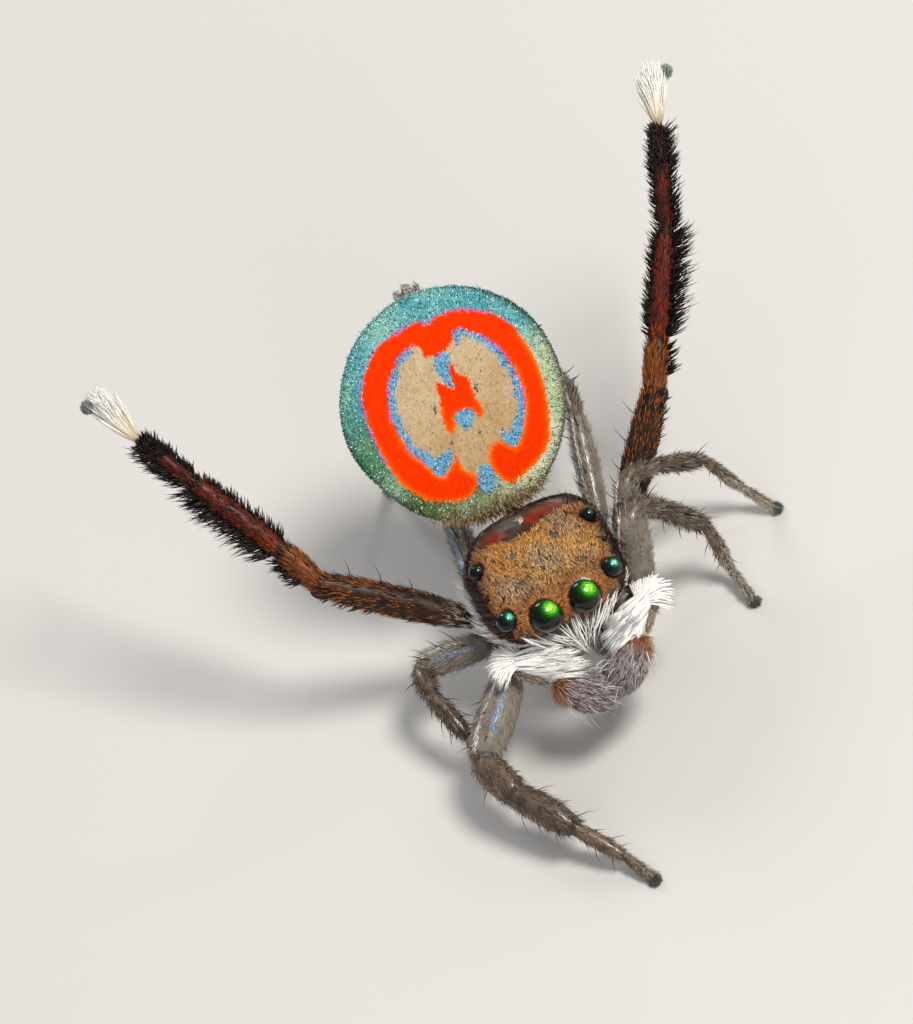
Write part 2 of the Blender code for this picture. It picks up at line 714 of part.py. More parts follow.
# Cuts a foot level at the floor.
def stand_flat(made):
    bm = bmesh.new()
    bm.from_mesh(made.data)
    slice_off(bm, Vector((0, 0, FLOOR)), Vector((0, 0, -1)))
    bm.to_mesh(made.data)
    bm.free()


# The swollen bulb at the end of a palp.
def make_bulb(word, ends, collection):
    root, tip = (Vector(end) for end in ends)
    direction = (tip - root).normalized()
    across, up = frame_across(direction, Vector((0, 0, 1)))
    rings = []
    for t, k in BULB_PROFILE:
        place = root.lerp(tip, t)
        rings.append([place + (across * math.cos(a) + up * math.sin(a)) * BULB_HALF_WIDTH * k
                      for a in (2 * math.pi * (i + 0.5) / BULB_SIDES for i in range(BULB_SIDES))])
    make_object("palp_%s_bulb" % word, loft(rings), collection)


# One palp's arm, with the white locks along its upper side and over its knee.
def make_palp_arm(word, palp, collection):
    side = 1 if word == "left" else -1
    joints = [Vector(j) for j in palp["joints"]]
    line = limb_line(joints, PALP_THICKNESS)
    chance = random.Random("palp_" + word)
    bodies, _ = limb_bodies(line, PALP_THICKNESS, 0, 2, PALP_SIDES)
    knee, end = joints[1], joints[2]
    inward = Vector((PALP_INWARD.x * side, PALP_INWARD.y, 0))
    forward = Vector((-PALP_INWARD.y * side, PALP_INWARD.x, 0))
    up = Vector((0, 0, 1))
    for shift, height, reach, lift, count in PALP_ROWS:
        for i in range(count):
            along = i / (count - 1)
            root = knee.lerp(end, 0.04 + 0.84 * along) + up * height + forward * shift
            size = reach * chance.uniform(0.92, 1.08)
            tip = root + inward * size + up * (lift + 0.07 + 0.05 * along) + forward * shift * 0.4
            bend = root + up * (0.15 + 0.04 * along) + inward * size * 0.30
            bodies.append(lock(root, bend, tip, PALP_LOCK, up))
    for i in range(KNEE_FAN["count"]):
        a = math.radians(-70 + 150 * i / (KNEE_FAN["count"] - 1))
        way = (-inward * math.cos(a) + forward * math.sin(a)).normalized()
        size = KNEE_FAN["length"] * chance.uniform(0.92, 1.08)
        root = knee + up * 0.05 + way * 0.02
        bend = root + way * size * 0.55 + up * 0.13
        tip = root + way * size * 0.80 - up * KNEE_FAN["droop"] * chance.uniform(0.8, 1.1)
        bodies.append(lock(root, bend, tip, KNEE_LOCK, up))
    fuse("palp_%s_arm" % word, bodies, collection)


# Base colour, roughness and metallic value of each kind of piece.
FINISHES = (
    ("eye", (0.02, 0.10, 0.02, 1), 0.05, 0.0),
    ("carapace", (0.42, 0.20, 0.07, 1), 0.6, 0.0),
    ("abdomen_fan", (0.80, 0.10, 0.03, 1), 0.5, 0.2),
    ("abdomen", (0.22, 0.20, 0.17, 1), 0.7, 0.0),
    ("palp", (0.75, 0.72, 0.68, 1), 0.6, 0.0),
    ("leg_3", (0.12, 0.035, 0.015, 1), 0.4, 0.0),
    ("leg", (0.26, 0.22, 0.18, 1), 0.5, 0.0),
    ("", (0.14, 0.10, 0.08, 1), 0.5, 0.0),
)


# Gives an object a material of its own.
def paint(made):
    name, colour, rough, metal = next(f for f in FINISHES if made.name.startswith(f[0]))
    material = bpy.data.materials.new(made.name)
    material.use_nodes = True
    shader = material.node_tree.nodes["Principled BSDF"]
    shader.inputs["Base Color"].default_value = colour
    shader.inputs["Roughness"].default_value = rough
    shader.inputs["Metallic"].default_value = metal
    made.data.materials.clear()
    made.data.materials.append(material)


# Scales the pieces to metres, with the model's box centred over the origin.
def set_down(collection):
    corners = [v.co for made in collection.objects for v in made.data.vertices]
    middle_x = (min(c.x for c in corners) + max(c.x for c in corners)) / 2
    middle_y = (min(c.y for c in corners) + max(c.y for c in corners)) / 2
    move = Matrix.Scale(MM, 4) @ Matrix.Translation((-middle_x, -middle_y, -FLOOR))
    for made in collection.objects:
        made.data.transform(move)
        made.data.shade_smooth()
        made.data.set_sharp_from_angle(angle=math.radians(50))


def main():
    for old in list(bpy.data.objects):
        bpy.data.objects.remove(old)
    spider = bpy.data.collections.new("peacock_spider")
    bpy.context.scene.collection.children.link(spider)
    make_carapace(spider)
    make_eyes(spider)
    make_sternum(spider)
    make_chelicerae(spider)
    make_pedicel(spider)
    make_belly(spider)
    make_fan(spider)
    make_spinnerets(spider)
    for word, palp in PALPS.items():
        make_palp_arm(word, palp, spider)
        make_bulb(word, palp["bulb"], spider)
    for name in LEGS:
        make_leg(name, spider)
    for made in spider.objects:
        paint(made)
    set_down(spider)


main()
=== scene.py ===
# A male peacock spider in display: skin, scales, hair and eyes over its solids.
# Lengths are in millimetres from the midpoint between the two large front eyes,
# with X to the spider's left, -Y to its front and Z up.
import math

import bpy
import numpy as np
from mathutils import Matrix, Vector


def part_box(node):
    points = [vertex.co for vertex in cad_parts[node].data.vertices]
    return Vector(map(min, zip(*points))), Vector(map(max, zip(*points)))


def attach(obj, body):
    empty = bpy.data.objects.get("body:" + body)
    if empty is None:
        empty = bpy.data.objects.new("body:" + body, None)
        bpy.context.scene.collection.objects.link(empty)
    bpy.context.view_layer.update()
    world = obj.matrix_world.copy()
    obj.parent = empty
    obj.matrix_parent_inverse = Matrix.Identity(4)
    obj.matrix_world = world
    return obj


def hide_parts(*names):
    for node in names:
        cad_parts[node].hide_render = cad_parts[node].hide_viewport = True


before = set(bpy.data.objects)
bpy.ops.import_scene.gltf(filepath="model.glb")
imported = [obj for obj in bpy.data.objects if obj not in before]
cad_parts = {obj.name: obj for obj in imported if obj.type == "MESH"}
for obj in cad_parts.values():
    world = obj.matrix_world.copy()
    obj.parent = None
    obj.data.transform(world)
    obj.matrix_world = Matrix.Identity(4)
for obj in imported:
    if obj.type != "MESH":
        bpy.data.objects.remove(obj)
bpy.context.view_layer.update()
mm = 0.001
patch = 0.003  # how wide one tuft or scale is on the coat's own map
eyeDrop = 0.01  # the large eyes' centres lie this far below the zero height


def eyeMidpoint():
    corners = [np.array(c) for side in ("left", "right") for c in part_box("eye_front_middle_" + side)]
    return sum(corners) / 4 / mm + np.array([0, 0, eyeDrop])


zero = eyeMidpoint()
floorHeight = -zero[2]


def unit(v):
    v = np.asarray(v, float)
    return v / np.maximum(np.linalg.norm(v, axis=-1, keepdims=True), 1e-12)


def colour(red, green, blue):
    c = np.array([red, green, blue]) / 255
    return np.where(c <= 0.04045, c / 12.92, ((c + 0.055) / 1.055) ** 2.4)


def blend(a, b, t):
    t = np.asarray(t, float)[..., None]
    return np.asarray(a) * (1 - t) + np.asarray(b) * t


def smoothStep(low, high, x):
    t = np.clip((np.asarray(x, float) - low) / (high - low), 0, 1)
    return t * t * (3 - 2 * t)


def circle(sides):
    return 2 * math.pi * np.arange(sides) / sides


# Ways out from the middle of a ball, in rows from pole to pole
def ballWays(rows, columns, rim=0.05):
    lat = np.linspace(rim, math.pi - rim, rows)[:, None]
    lon = circle(columns)
    height = np.cos(lat) * np.ones(columns)
    return np.stack([np.sin(lat) * np.cos(lon), np.sin(lat) * np.sin(lon), height], -1)


# One value for all hairs, or one for each, as a column
def asColumn(value, count):
    return np.broadcast_to(np.asarray(value, float), (count,))[:, None]


# A soft random value from -1 to 1 that varies over a given distance
def cloud(points, size, seed):
    chance = np.random.default_rng(seed)
    ways = unit(chance.normal(size=(7, points.shape[-1])))
    turns = chance.uniform(0, 2 * math.pi, 7)
    rates = chance.uniform(0.7, 1.6, 7) * 2 * math.pi / size
    return np.sin(points @ ways.T * rates + turns).sum(-1) / 3.2


# A curve through a row of points, open or closed
def curveThrough(points, steps, closed=False):
    p = np.asarray(points, float)
    if closed:
        p = np.concatenate([p[-1:], p, p[:2]])
    else:
        p = np.concatenate([2 * p[:1] - p[1:2], p, 2 * p[-1:] - p[-2:-1]])
    t = (np.arange(steps) / steps)[:, None]
    parts = []
    for a, b, c, d in zip(p, p[1:], p[2:], p[3:]):
        parts.append(b + 0.5 * t * (c - a + t * (2 * a - 5 * b + 4 * c - d + t * (3 * (b - c) + d - a))))
    if not closed:
        parts.append(p[-2:-1])
    return np.concatenate(parts)


# A closed skin from rings of points; rows run along it and columns round it
def gridSkin(points, extra=None):
    rows, columns = points.shape[:2]
    index = np.arange(rows * columns).reshape(rows, columns)
    across = np.roll(index, -1, axis=1)
    a, b, c, d = index[:-1], across[:-1], across[1:], index[1:]
    u = np.broadcast_to(np.arange(columns) / columns, (rows - 1, columns))
    v = np.broadcast_to(np.linspace(0.02, 0.98, rows)[:, None], (rows, columns))
    step = 1 / columns
    ua, va = np.stack([u, v[:-1]], -1), np.stack([u, v[1:]], -1)
    ub, vb = ua + [step, 0], va + [step, 0]
    tris = [np.stack([a, b, c], -1), np.stack([a, c, d], -1)]
    maps = [np.stack([ua, ub, vb], -2), np.stack([ua, vb, va], -2)]
    tris = [t.reshape(-1, 3) for t in tris]
    maps = [m.reshape(-1, 3, 2) for m in maps]
    verts = points.reshape(-1, 3)
    ends = np.stack([points[0].mean(0), points[-1].mean(0)])
    for k, (ring, edge) in enumerate(((0, 0.02), (rows - 1, 0.98))):
        tip = np.full(columns, rows * columns + k)
        order = (tip, across[ring], index[ring]) if k == 0 else (tip, index[ring], across[ring])
        tris.append(np.stack(order, -1))
        flat = np.stack([u[0], np.full(columns, edge)], -1)
        maps.append(np.stack([flat + [step / 2, 0.015 * (2 * k - 1)], flat, flat + [step, 0]], 1))
    skin = {"verts": np.concatenate([verts, ends]), "tris": np.concatenate(tris),
            "map": np.concatenate(maps)}
    if signedVolume(skin) < 0:
        skin["tris"] = skin["tris"][:, ::-1]
        skin["map"] = skin["map"][:, ::-1]
    skin["normals"] = vertexNormals(skin)
    skin["extra"] = {}
    for name, values in (extra or {}).items():
        skin["extra"][name] = np.concatenate([values.ravel(), [values[0].mean(), values[-1].mean()]])
    return skin


# A round tube between two points: each row gives a share of the way and a radius
def tubeSkin(start, end, rows, sides, hint, extra=None):
    way = unit(end - start)
    side = unit(np.cross(way, hint))
    up = np.cross(side, way)
    a = circle(sides)[:, None]
    rings = [start + (end - start) * t + (side * np.cos(a) + up * np.sin(a)) * radius for t, radius in rows]
    return gridSkin(np.array(rings), extra)


def paint(skin, tone):
    skin["tint"] = np.broadcast_to(tone, skin["verts"].shape)
    return skin


def signedVolume(skin):
    a, b, c = (skin["verts"][skin["tris"][:, k]] for k in range(3))
    return np.einsum("ij,ij->i", a, np.cross(b, c)).sum() / 6


def vertexNormals(skin):
    a, b, c = (skin["verts"][skin["tris"][:, k]] for k in range(3))
    flat = np.cross(b - a, c - a)
    normals = np.zeros_like(skin["verts"])
    for k in range(3):
        np.add.at(normals, skin["tris"][:, k], flat)
    return unit(normals)


# Random places on a skin, with what a hair needs to know about each
def scatter(skin, count, chance):
    tris = skin["tris"]
    a, b, c = (skin["verts"][tris[:, k]] for k in range(3))
    area = np.linalg.norm(np.cross(b - a, c - a), axis=1)
    chosen = chance.choice(len(tris), count, p=area / area.sum())
    r = np.sqrt(chance.random(count))
    s = chance.random(count)
    weight = np.stack([1 - r, r * (1 - s), r * s], -1)
    corner = tris[chosen]
    found = {"root": np.einsum("nk,nkd->nd", weight, skin["verts"][corner]),
             "normal": unit(np.einsum("nk,nkd->nd", weight, skin["normals"][corner])),
             "map": np.einsum("nk,nkd->nd", weight, skin["map"][chosen])}
    for name, values in skin["extra"].items():
        found[name] = np.einsum("nk,nk->n", weight, values[corner])
    return found


def pick(found, keep):
    return {name: values[keep] for name, values in found.items()}


# How a hair's width changes along it, from its root
shortTaper = (1.0, 0.8)
sharpTaper = (1.0, 0.7)
spineTaper = (1.0, 0.95, 0.8, 0.55, 0.3)


# Tapered hairs, each a three-sided curved spike: where it starts, the ways it leaves and ends
def growHair(found, leave, end, length, width, root, tip, taper=shortTaper, sink=0.012):
    count = len(found["root"])
    length, width = asColumn(length, count), asColumn(width, count)
    leave, end = unit(leave), unit(end)
    start = found["root"] - found["normal"] * sink
    knee = start + leave * length * 0.5
    point = knee + end * length * 0.5
    steps = len(taper)
    verts = np.zeros((count, steps * 3 + 1, 3))
    local = np.zeros((steps * 3 + 1, 2))
    tint = np.zeros((count, steps * 3 + 1, 3))
    root, tip = (np.broadcast_to(c, (count, 3)) for c in (root, tip))
    for k, share in enumerate(taper):
        t = k / steps
        centre = start * (1 - t) ** 2 + knee * 2 * t * (1 - t) + point * t * t
        slope = unit((knee - start) * (1 - t) + (point - knee) * t)
        side = unit(np.cross(slope, found["normal"] + 1e-3))
        up = np.cross(side, slope)
        verts[:, 3 * k] = centre + side * width * share / 2
        verts[:, 3 * k + 1] = centre - side * width * share / 2
        verts[:, 3 * k + 2] = centre + up * width * share * 0.6
        local[3 * k:3 * k + 3] = ((1, t), (0, t), (0.5, t))
        tint[:, 3 * k:3 * k + 3] = (root * (1 - t) + tip * t)[:, None]
    verts[:, -1] = point
    local[-1] = (0.5, 1)
    tint[:, -1] = tip
    faces = [(0, 1, 2)]
    for k in range(steps - 1):
        for i in range(3):
            p, q = 3 * k + i, 3 * k + (i + 1) % 3
            faces += [(p, p + 3, q), (q, p + 3, q + 3)]
    last = 3 * (steps - 1)
    faces += [(last + i, steps * 3, last + (i + 1) % 3) for i in range(3)]
    return joinCopies(verts, np.array(faces), local, found["map"], tint)


# Short flat scales with a raised midrib, closed below
def growScales(found, lie, length, width, tint, lift=0.18, sink=0.004):
    count = len(found["root"])
    length, width, lift = (asColumn(value, count) for value in (length, width, lift))
    lie = unit(lie - found["normal"] * (lie * found["normal"]).sum(-1, keepdims=True))
    side = np.cross(found["normal"], lie)
    way = unit(lie + found["normal"] * lift)
    up = unit(np.cross(side, way))
    up = np.where((up * found["normal"]).sum(-1, keepdims=True) < 0, -up, up)
    start = found["root"] - found["normal"] * sink
    middle = start + way * length * 0.5
    verts = np.stack([start, middle + side * width / 2, middle + up * width * 0.16,
                      middle - side * width / 2, start + way * length], 1)
    local = np.array([(0.5, 0), (1, 0.5), (0.5, 0.5), (0, 0.5), (0.5, 1)])
    faces = np.array([(0, 1, 2), (0, 2, 3), (1, 4, 2), (2, 4, 3), (0, 3, 1), (1, 3, 4)])
    tint = np.repeat(np.broadcast_to(tint, (count, 3))[:, None], 5, 1)
    return joinCopies(verts, faces, local, found["map"], tint)


# Many copies of one small form as one set of arrays; each keeps its own patch of the map
def joinCopies(verts, faces, local, mapRoot, tint):
    count, each = verts.shape[:2]
    tris = (faces[None] + (np.arange(count) * each)[:, None, None]).reshape(-1, 3)
    place = mapRoot[:, None] + (local[None] - 0.5) * patch
    return {"verts": verts.reshape(-1, 3), "tris": tris, "map": place.reshape(-1, 2)[tris],
            "tint": tint.reshape(-1, 3)}


# One object of the model from arrays; what goes under the floor is brought up to it
def addPiece(name, parts, material, nodes=()):
    verts = np.concatenate([p["verts"] for p in parts])
    offsets = np.cumsum([0] + [len(p["verts"]) for p in parts[:-1]])
    tris = np.concatenate([p["tris"] + o for p, o in zip(parts, offsets)]).astype(np.int32)
    corner = np.concatenate([p["map"].reshape(-1, 2) for p in parts])
    tint = np.concatenate([p["tint"] for p in parts])
    verts[:, 2] = np.maximum(verts[:, 2], floorHeight)
    mesh = bpy.data.meshes.new(name)
    mesh.vertices.add(len(verts))
    mesh.vertices.foreach_set("co", ((verts + zero) * mm).astype(np.float32).ravel())
    mesh.loops.add(len(tris) * 3)
    mesh.loops.foreach_set("vertex_index", tris.ravel())
    mesh.polygons.add(len(tris))
    mesh.polygons.foreach_set("loop_start", np.arange(0, len(tris) * 3, 3, dtype=np.int32))
    mesh.uv_layers.new(name="OFBake").data.foreach_set("uv", corner.astype(np.float32).ravel())
    colours = mesh.color_attributes.new("tint", "FLOAT_COLOR", "POINT")
    full = np.concatenate([np.clip(tint, 0, 1), np.ones((len(tint), 1))], 1)
    colours.data.foreach_set("color", full.astype(np.float32).ravel())
    mesh.update(calc_edges=True)
    mesh.shade_smooth()
    mesh.materials.append(material)
    piece = bpy.data.objects.new(name, mesh)
    bpy.context.scene.collection.objects.link(piece)
    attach(piece, "root")
    if nodes:
        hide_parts(*nodes)
    return piece


def setSockets(node, **values):
    for socket, value in values.items():
        node.inputs[socket].default_value = value


def addNode(tree, kind, **values):
    node = tree.nodes.new("ShaderNode" + kind)
    setSockets(node, **values)
    return node


# A finish that takes its colour from the tint, broken up by fine grain and bump
def makeFinish(name, rough, grain=0.25, grainSize=0.05, bump=0.0, bumpSize=0.03, **sockets):
    material = bpy.data.materials.new(name)
    material.use_nodes = True
    tree = material.node_tree
    link = tree.links.new
    shader = tree.nodes["Principled BSDF"]
    tint = addNode(tree, "Attribute")
    tint.attribute_name = "tint"
    place = addNode(tree, "TexCoord").outputs["Object"]
    noise = addNode(tree, "TexNoise", Scale=1 / (grainSize * mm), Detail=4)
    shade = addNode(tree, "MapRange", **{"To Min": 1 - grain, "To Max": 1 + grain})
    mix = addNode(tree, "Mix")
    mix.data_type = "RGBA"
    mix.blend_type = "MULTIPLY"
    mix.inputs["Factor"].default_value = 1
    link(place, noise.inputs["Vector"])
    link(noise.outputs["Fac"], shade.inputs["Value"])
    link(tint.outputs["Color"], mix.inputs["A"])
    link(shade.outputs["Result"], mix.inputs["B"])
    link(mix.outputs["Result"], shader.inputs["Base Color"])
    if bump:
        relief = addNode(tree, "TexNoise", Scale=1 / (bumpSize * mm), Detail=3)
        lump = addNode(tree, "Bump", Strength=bump, Distance=bumpSize * mm * 0.25)
        link(place, relief.inputs["Vector"])
        link(relief.outputs["Fac"], lump.inputs["Height"])
        link(lump.outputs["Normal"], shader.inputs["Normal"])
    setSockets(shader, Roughness=rough, **sockets)
    return material


shellFinish = makeFinish("darkShell", 0.32, bump=0.4, **{"Coat Weight": 0.3, "Coat Roughness": 0.2})
scaleFinish = makeFinish("goldScales", 0.5, grain=0.2)
fanFinish = makeFinish("fanScales", 0.8, grain=0.12, **{"Specular IOR Level": 0.0})
shimmerFinish = makeFinish("shimmerScales", 0.35, grain=0.3, Metallic=0.3)
hairFinish = makeFinish("softHair", 0.55, grain=0.15)
whiteFinish = makeFinish("whiteHair", 0.5, grain=0.06, **{"Specular IOR Level": 0.3})
legFinish = makeFinish("clearCuticle", 0.4, grain=0.3, grainSize=0.09, bump=0.5, bumpSize=0.05,
                       **{"Subsurface Weight": 0.4, "Subsurface Scale": 0.00006, "Coat Weight": 0.2})
redLegFinish = makeFinish("redCuticle", 0.45, grain=0.4, grainSize=0.08, bump=0.6, bumpSize=0.04,
                          **{"Specular IOR Level": 0.2, "Coat Weight": 0.06, "Coat Roughness": 0.25})
bristleFinish = makeFinish("blackBristle", 0.38, grain=0.2, **{"Specular IOR Level": 0.35})
bulbFinish = makeFinish("palpBulb", 0.4, grain=0.3, bump=0.3)
bellyFinish = makeFinish("softBelly", 0.8, grain=0.3, bump=0.5, bumpSize=0.06, **{"Specular IOR Level": 0.05})


# Camera
view = {"elevation": 50.0, "roll": 27.5, "distance": 160.0, "width": 10.616, "aim": (-1.2547, 1.0756)}


# Puts a camera or lamp at a spot, with its own right, up and back ways
def placeObject(thing, right, up, back, spot):
    matrix = np.eye(4)
    matrix[:3] = np.stack([right, up, back, (spot + zero) * mm], 1)
    thing.matrix_world = Matrix(matrix.tolist())


def addCamera():
    e, r = math.radians(view["elevation"]), math.radians(view["roll"])
    toward = np.array([0, -math.cos(e), math.sin(e)])
    level, lean = np.array([1.0, 0, 0]), np.array([0, math.sin(e), math.cos(e)])
    right = level * math.cos(r) - lean * math.sin(r)
    up = level * math.sin(r) + lean * math.cos(r)
    spot = right * view["aim"][0] + up * view["aim"][1] + toward * view["distance"]
    camera = bpy.data.objects.new("camera", bpy.data.cameras.new("camera"))
    bpy.context.scene.collection.objects.link(camera)
    placeObject(camera, right, up, toward, spot)
    camera.data.sensor_fit = "HORIZONTAL"
    camera.data.angle = 2 * math.atan(view["width"] / 2 / view["distance"])
    camera.data.clip_start = 0.01
    camera.data.clip_end = 20
    bpy.context.scene.camera = camera
    print("camera set")


addCamera()

# The head shield: y, half width, top and bottom of its cross sections
shield = {
    "stations": ((-0.08, 0.44, 0.02, -0.30), (-0.04, 0.60, 0.12, -0.38), (0.05, 0.71, 0.20, -0.46),
                 (0.20, 0.77, 0.255, -0.53), (0.50, 0.81, 0.30, -0.59), (0.90, 0.82, 0.31, -0.60),
                 (1.20, 0.81, 0.25, -0.60), (1.46, 0.74, 0.11, -0.60), (1.66, 0.61, -0.09, -0.59),
                 (1.80, 0.43, -0.27, -0.56), (1.87, 0.25, -0.37, -0.50)),
    "squareness": 2.35, "inset": 0.018, "sides": 120, "steps": 8,
    "scaleSeeds": 76000, "scaleLength": 0.060, "scaleWidth": 0.0105,
    "gold": colour(228, 164, 84), "paleGold": colour(206, 168, 124), "orange": colour(206, 132, 66),
    "shell": colour(34, 22, 15), "redShell": colour(112, 34, 16), "greyShell": colour(88, 90, 92),
    "flank": colour(62, 38, 24), "redSpots": ((0.20, 1.25), (-0.38, 1.26), (0.42, 1.30)),
    # bare spots: across, along and size
    "bareSpots": ((0.26, 0.75, 0.062), (-0.26, 0.75, 0.03), (-0.38, 0.34, 0.036), (0.38, 0.34, 0.03),
                  (-0.57, 0.82, 0.045), (0.50, 1.02, 0.045), (0.60, 0.74, 0.03), (-0.62, 0.30, 0.04)),
    "fringe": colour(196, 120, 60), "fringeSeeds": 160000, "fringeShare": 0.5, "fringeReach": 0.035,
    "fringeLength": 0.047, "fringeWidth": 0.011, "fringeLift": 0.45,
    "whorl": (-0.05, 1.27, 0), "whorlRadius": 0.085, "whorlSeeds": 60000, "whorlShare": 0.35,
    "whorlLength": 0.075, "whorlWidth": 0.010, "whorlColour": colour(226, 206, 184),
}
# Across, along, up and radius of the eyes on the left side
eyes = {
    "front_middle": (0.25, 0.00, -0.01, 0.210), "front_outer": (0.685, 0.140, 0.045, 0.130),
    "small": (0.765, 0.560, 0.050, 0.042), "rear": (0.730, 0.960, 0.090, 0.105),
}


# A rounded cross section, squarer for a larger power
def superRing(y, halfWidth, top, bottom, sides, power, inset):
    a = circle(sides)
    c, s = np.cos(a), np.sin(a)
    x = (halfWidth - inset) * np.sign(c) * np.abs(c) ** (2 / power)
    z = ((top - bottom) / 2 - inset) * np.sign(s) * np.abs(s) ** (2 / power)
    return np.stack([x, np.full(sides, y), (top + bottom) / 2 + z], -1)


def eyeCentres():
    for name, (x, y, z, radius) in eyes.items():
        for side, sign in (("left", 1), ("right", -1)):
            yield name, side, np.array([sign * x, y, z]), radius


def largeEyes():
    return [(centre, radius) for name, _, centre, radius in eyeCentres() if name != "small"]


# How bare the shield is: the rear slope, small smooth spots and the furrow along its middle
def shieldBare(p):
    x, y = p[:, 0], p[:, 1]
    edge = 0.95 + 0.35 * np.abs(x) ** 1.2 + 0.05 * cloud(p, 0.5, 3)
    bare = smoothStep(edge - 0.05, edge + 0.06, y)
    for sx, sy, size in shield["bareSpots"]:
        spot = np.hypot((x - sx) / 1.3, y - sy) + 0.03 * cloud(p, 0.10, 5)
        bare = np.maximum(bare, 1 - smoothStep(size * 0.4, size * 1.6, spot))
    furrow = np.abs(x + 0.02 * np.sin(6 * y)) + 0.1 * smoothStep(0.62, 0.8, y)
    return np.maximum(bare, 0.8 * (1 - smoothStep(0.008, 0.026, furrow)))


def makeShield():
    stations = curveThrough(shield["stations"], shield["steps"])
    rings = [superRing(*s, shield["sides"], shield["squareness"], shield["inset"]) for s in stations]
    skin = gridSkin(np.array(rings))
    p = skin["verts"]
    rough = 0.08 * cloud(p, 0.16, 8)
    red = np.zeros(len(p))
    for x, y in shield["redSpots"]:
        red = np.maximum(red, 1 - smoothStep(0.08, 0.22, np.hypot(p[:, 0] - x, p[:, 1] - y) + rough))
    grey = 1 - smoothStep(0.06, 0.24, np.hypot(p[:, 0] + 0.16, 0.7 * (p[:, 1] - 1.38)) + rough)
    spots = shieldBare(p) * smoothStep(0.95, 0.85, p[:, 1]) * smoothStep(0.1, 0.2, p[:, 2])
    grey = np.maximum(grey * 0.8, spots * 0.7)
    tint = blend(blend(shield["shell"], shield["redShell"], red * 0.9), shield["greyShell"], grey)
    flank = smoothStep(0.0, -0.2, p[:, 2])
    skin["tint"] = blend(tint, shield["flank"], flank * 0.8)
    addPiece("headShield", [skin], shellFinish, ["carapace"])
    print("head shield made")
    return skin


def dressShield(skin):
    chance = np.random.default_rng(11)
    found = scatter(skin, shield["scaleSeeds"], chance)
    p = found["root"]
    top = smoothStep(-0.14, 0.02, p[:, 2]) * smoothStep(-0.05, 0.03, p[:, 1] + 0.25 * (p[:, 2] > -0.02))
    gaps = 0.30 + 0.70 * smoothStep(-0.55, 0.05, cloud(p * [2.0, 0.7, 1.0], 0.11, 23))
    gaps *= 0.72 + 0.28 * smoothStep(0.1, 0.5, p[:, 1])
    keep = chance.random(len(p)) < (1 - shieldBare(p)) * (0.08 + 0.92 * top) * gaps
    for _, _, centre, radius in eyeCentres():
        keep &= np.linalg.norm(p - centre, axis=1) > radius + 0.004
    found = pick(found, keep)
    p = found["root"]
    count = len(p)
    lie = np.stack([0.25 * p[:, 0] + 0.5 * cloud(p, 0.5, 21), 0.9 + 0 * p[:, 0], np.zeros(count)], -1)
    pale = smoothStep(-0.6, 0.8, cloud(p, 0.7, 22))
    tint = blend(shield["gold"], shield["paleGold"], pale)
    length = shield["scaleLength"] * chance.uniform(0.75, 1.35, count)
    lift = chance.uniform(0.1, 0.5, count)
    for centre, radius in largeEyes():
        away = p - centre
        near = 1 - smoothStep(radius + 0.03, radius + 0.16, np.linalg.norm(away, axis=1))
        lie = blend(lie, unit(away), near)
        tint = blend(tint, shield["orange"], near * 0.7)
        length = length * (1 + 0.15 * near)
        lift = lift * (1 - 0.3 * near)
    lie = unit(lie) + chance.normal(scale=0.22, size=(count, 3))
    tint = tint * chance.uniform(0.22, 1.25, (count, 1)) * (1 + 0.06 * chance.normal(size=(count, 3)))
    # painted shade: scales darker towards the front and the sides of the shield, where it turns down away
    # from the light
    shade = smoothStep(0.05, 0.45, p[:, 1] + 0.15 * cloud(p, 0.3, 24))
    shade *= smoothStep(0.80, 0.62, np.abs(p[:, 0]))
    tint = tint * (0.70 + 0.36 * shade)[:, None]
    width = shield["scaleWidth"] * chance.uniform(0.8, 1.3, count)
    part = growScales(found, lie, length, width, tint, lift)
    parts = [part, whorlHair(skin, chance)] + eyeFringes(skin, chance)
    addPiece("shieldScales", parts, scaleFinish)
    print("shield scales", count)


# Short orange-tan scales standing round each eye
def eyeFringes(skin, chance):
    found = scatter(skin, shield["fringeSeeds"], chance)
    parts = []
    for centre, radius in largeEyes():
        away = found["root"] - centre
        reach = np.linalg.norm(away, axis=1)
        around = (reach > radius * 0.98) & (reach < radius + shield["fringeReach"])
        around &= away[:, 2] > -0.7 * radius
        near = pick(found, around & (chance.random(len(reach)) < shield["fringeShare"]))
        count = len(near["root"])
        lie = unit(near["root"] - centre) + chance.normal(scale=0.2, size=(count, 3))
        tint = shield["fringe"] * chance.uniform(0.4, 1.15, (count, 1))
        length = shield["fringeLength"] * chance.uniform(0.7, 1.3, count)
        parts.append(growScales(near, lie, length, shield["fringeWidth"], tint, shield["fringeLift"]))
    return parts


# A small whorl of white hair on the bare rear slope
def whorlHair(skin, chance):
    found = scatter(skin, shield["whorlSeeds"], chance)
    away = found["root"] - shield["whorl"]
    away[:, 2] = 0
    reach = np.linalg.norm(away, axis=1)
    keep = (reach < shield["whorlRadius"]) & (found["root"][:, 2] > -0.2)
    keep &= chance.random(len(reach)) < shield["whorlShare"]
    found, away = pick(found, keep), unit(away[keep])
    turn = np.cross([0, 0, 1.0], away)
    end = turn - away * 0.5 + found["normal"] * 0.1
    tint = shield["whorlColour"] * chance.uniform(0.6, 1.0, (len(away), 1))
    leave = turn + found["normal"] * 0.35
    return growHair(found, leave, end, shield["whorlLength"], shield["whorlWidth"], tint, tint)


shieldSkin = makeShield()
dressShield(shieldSkin)

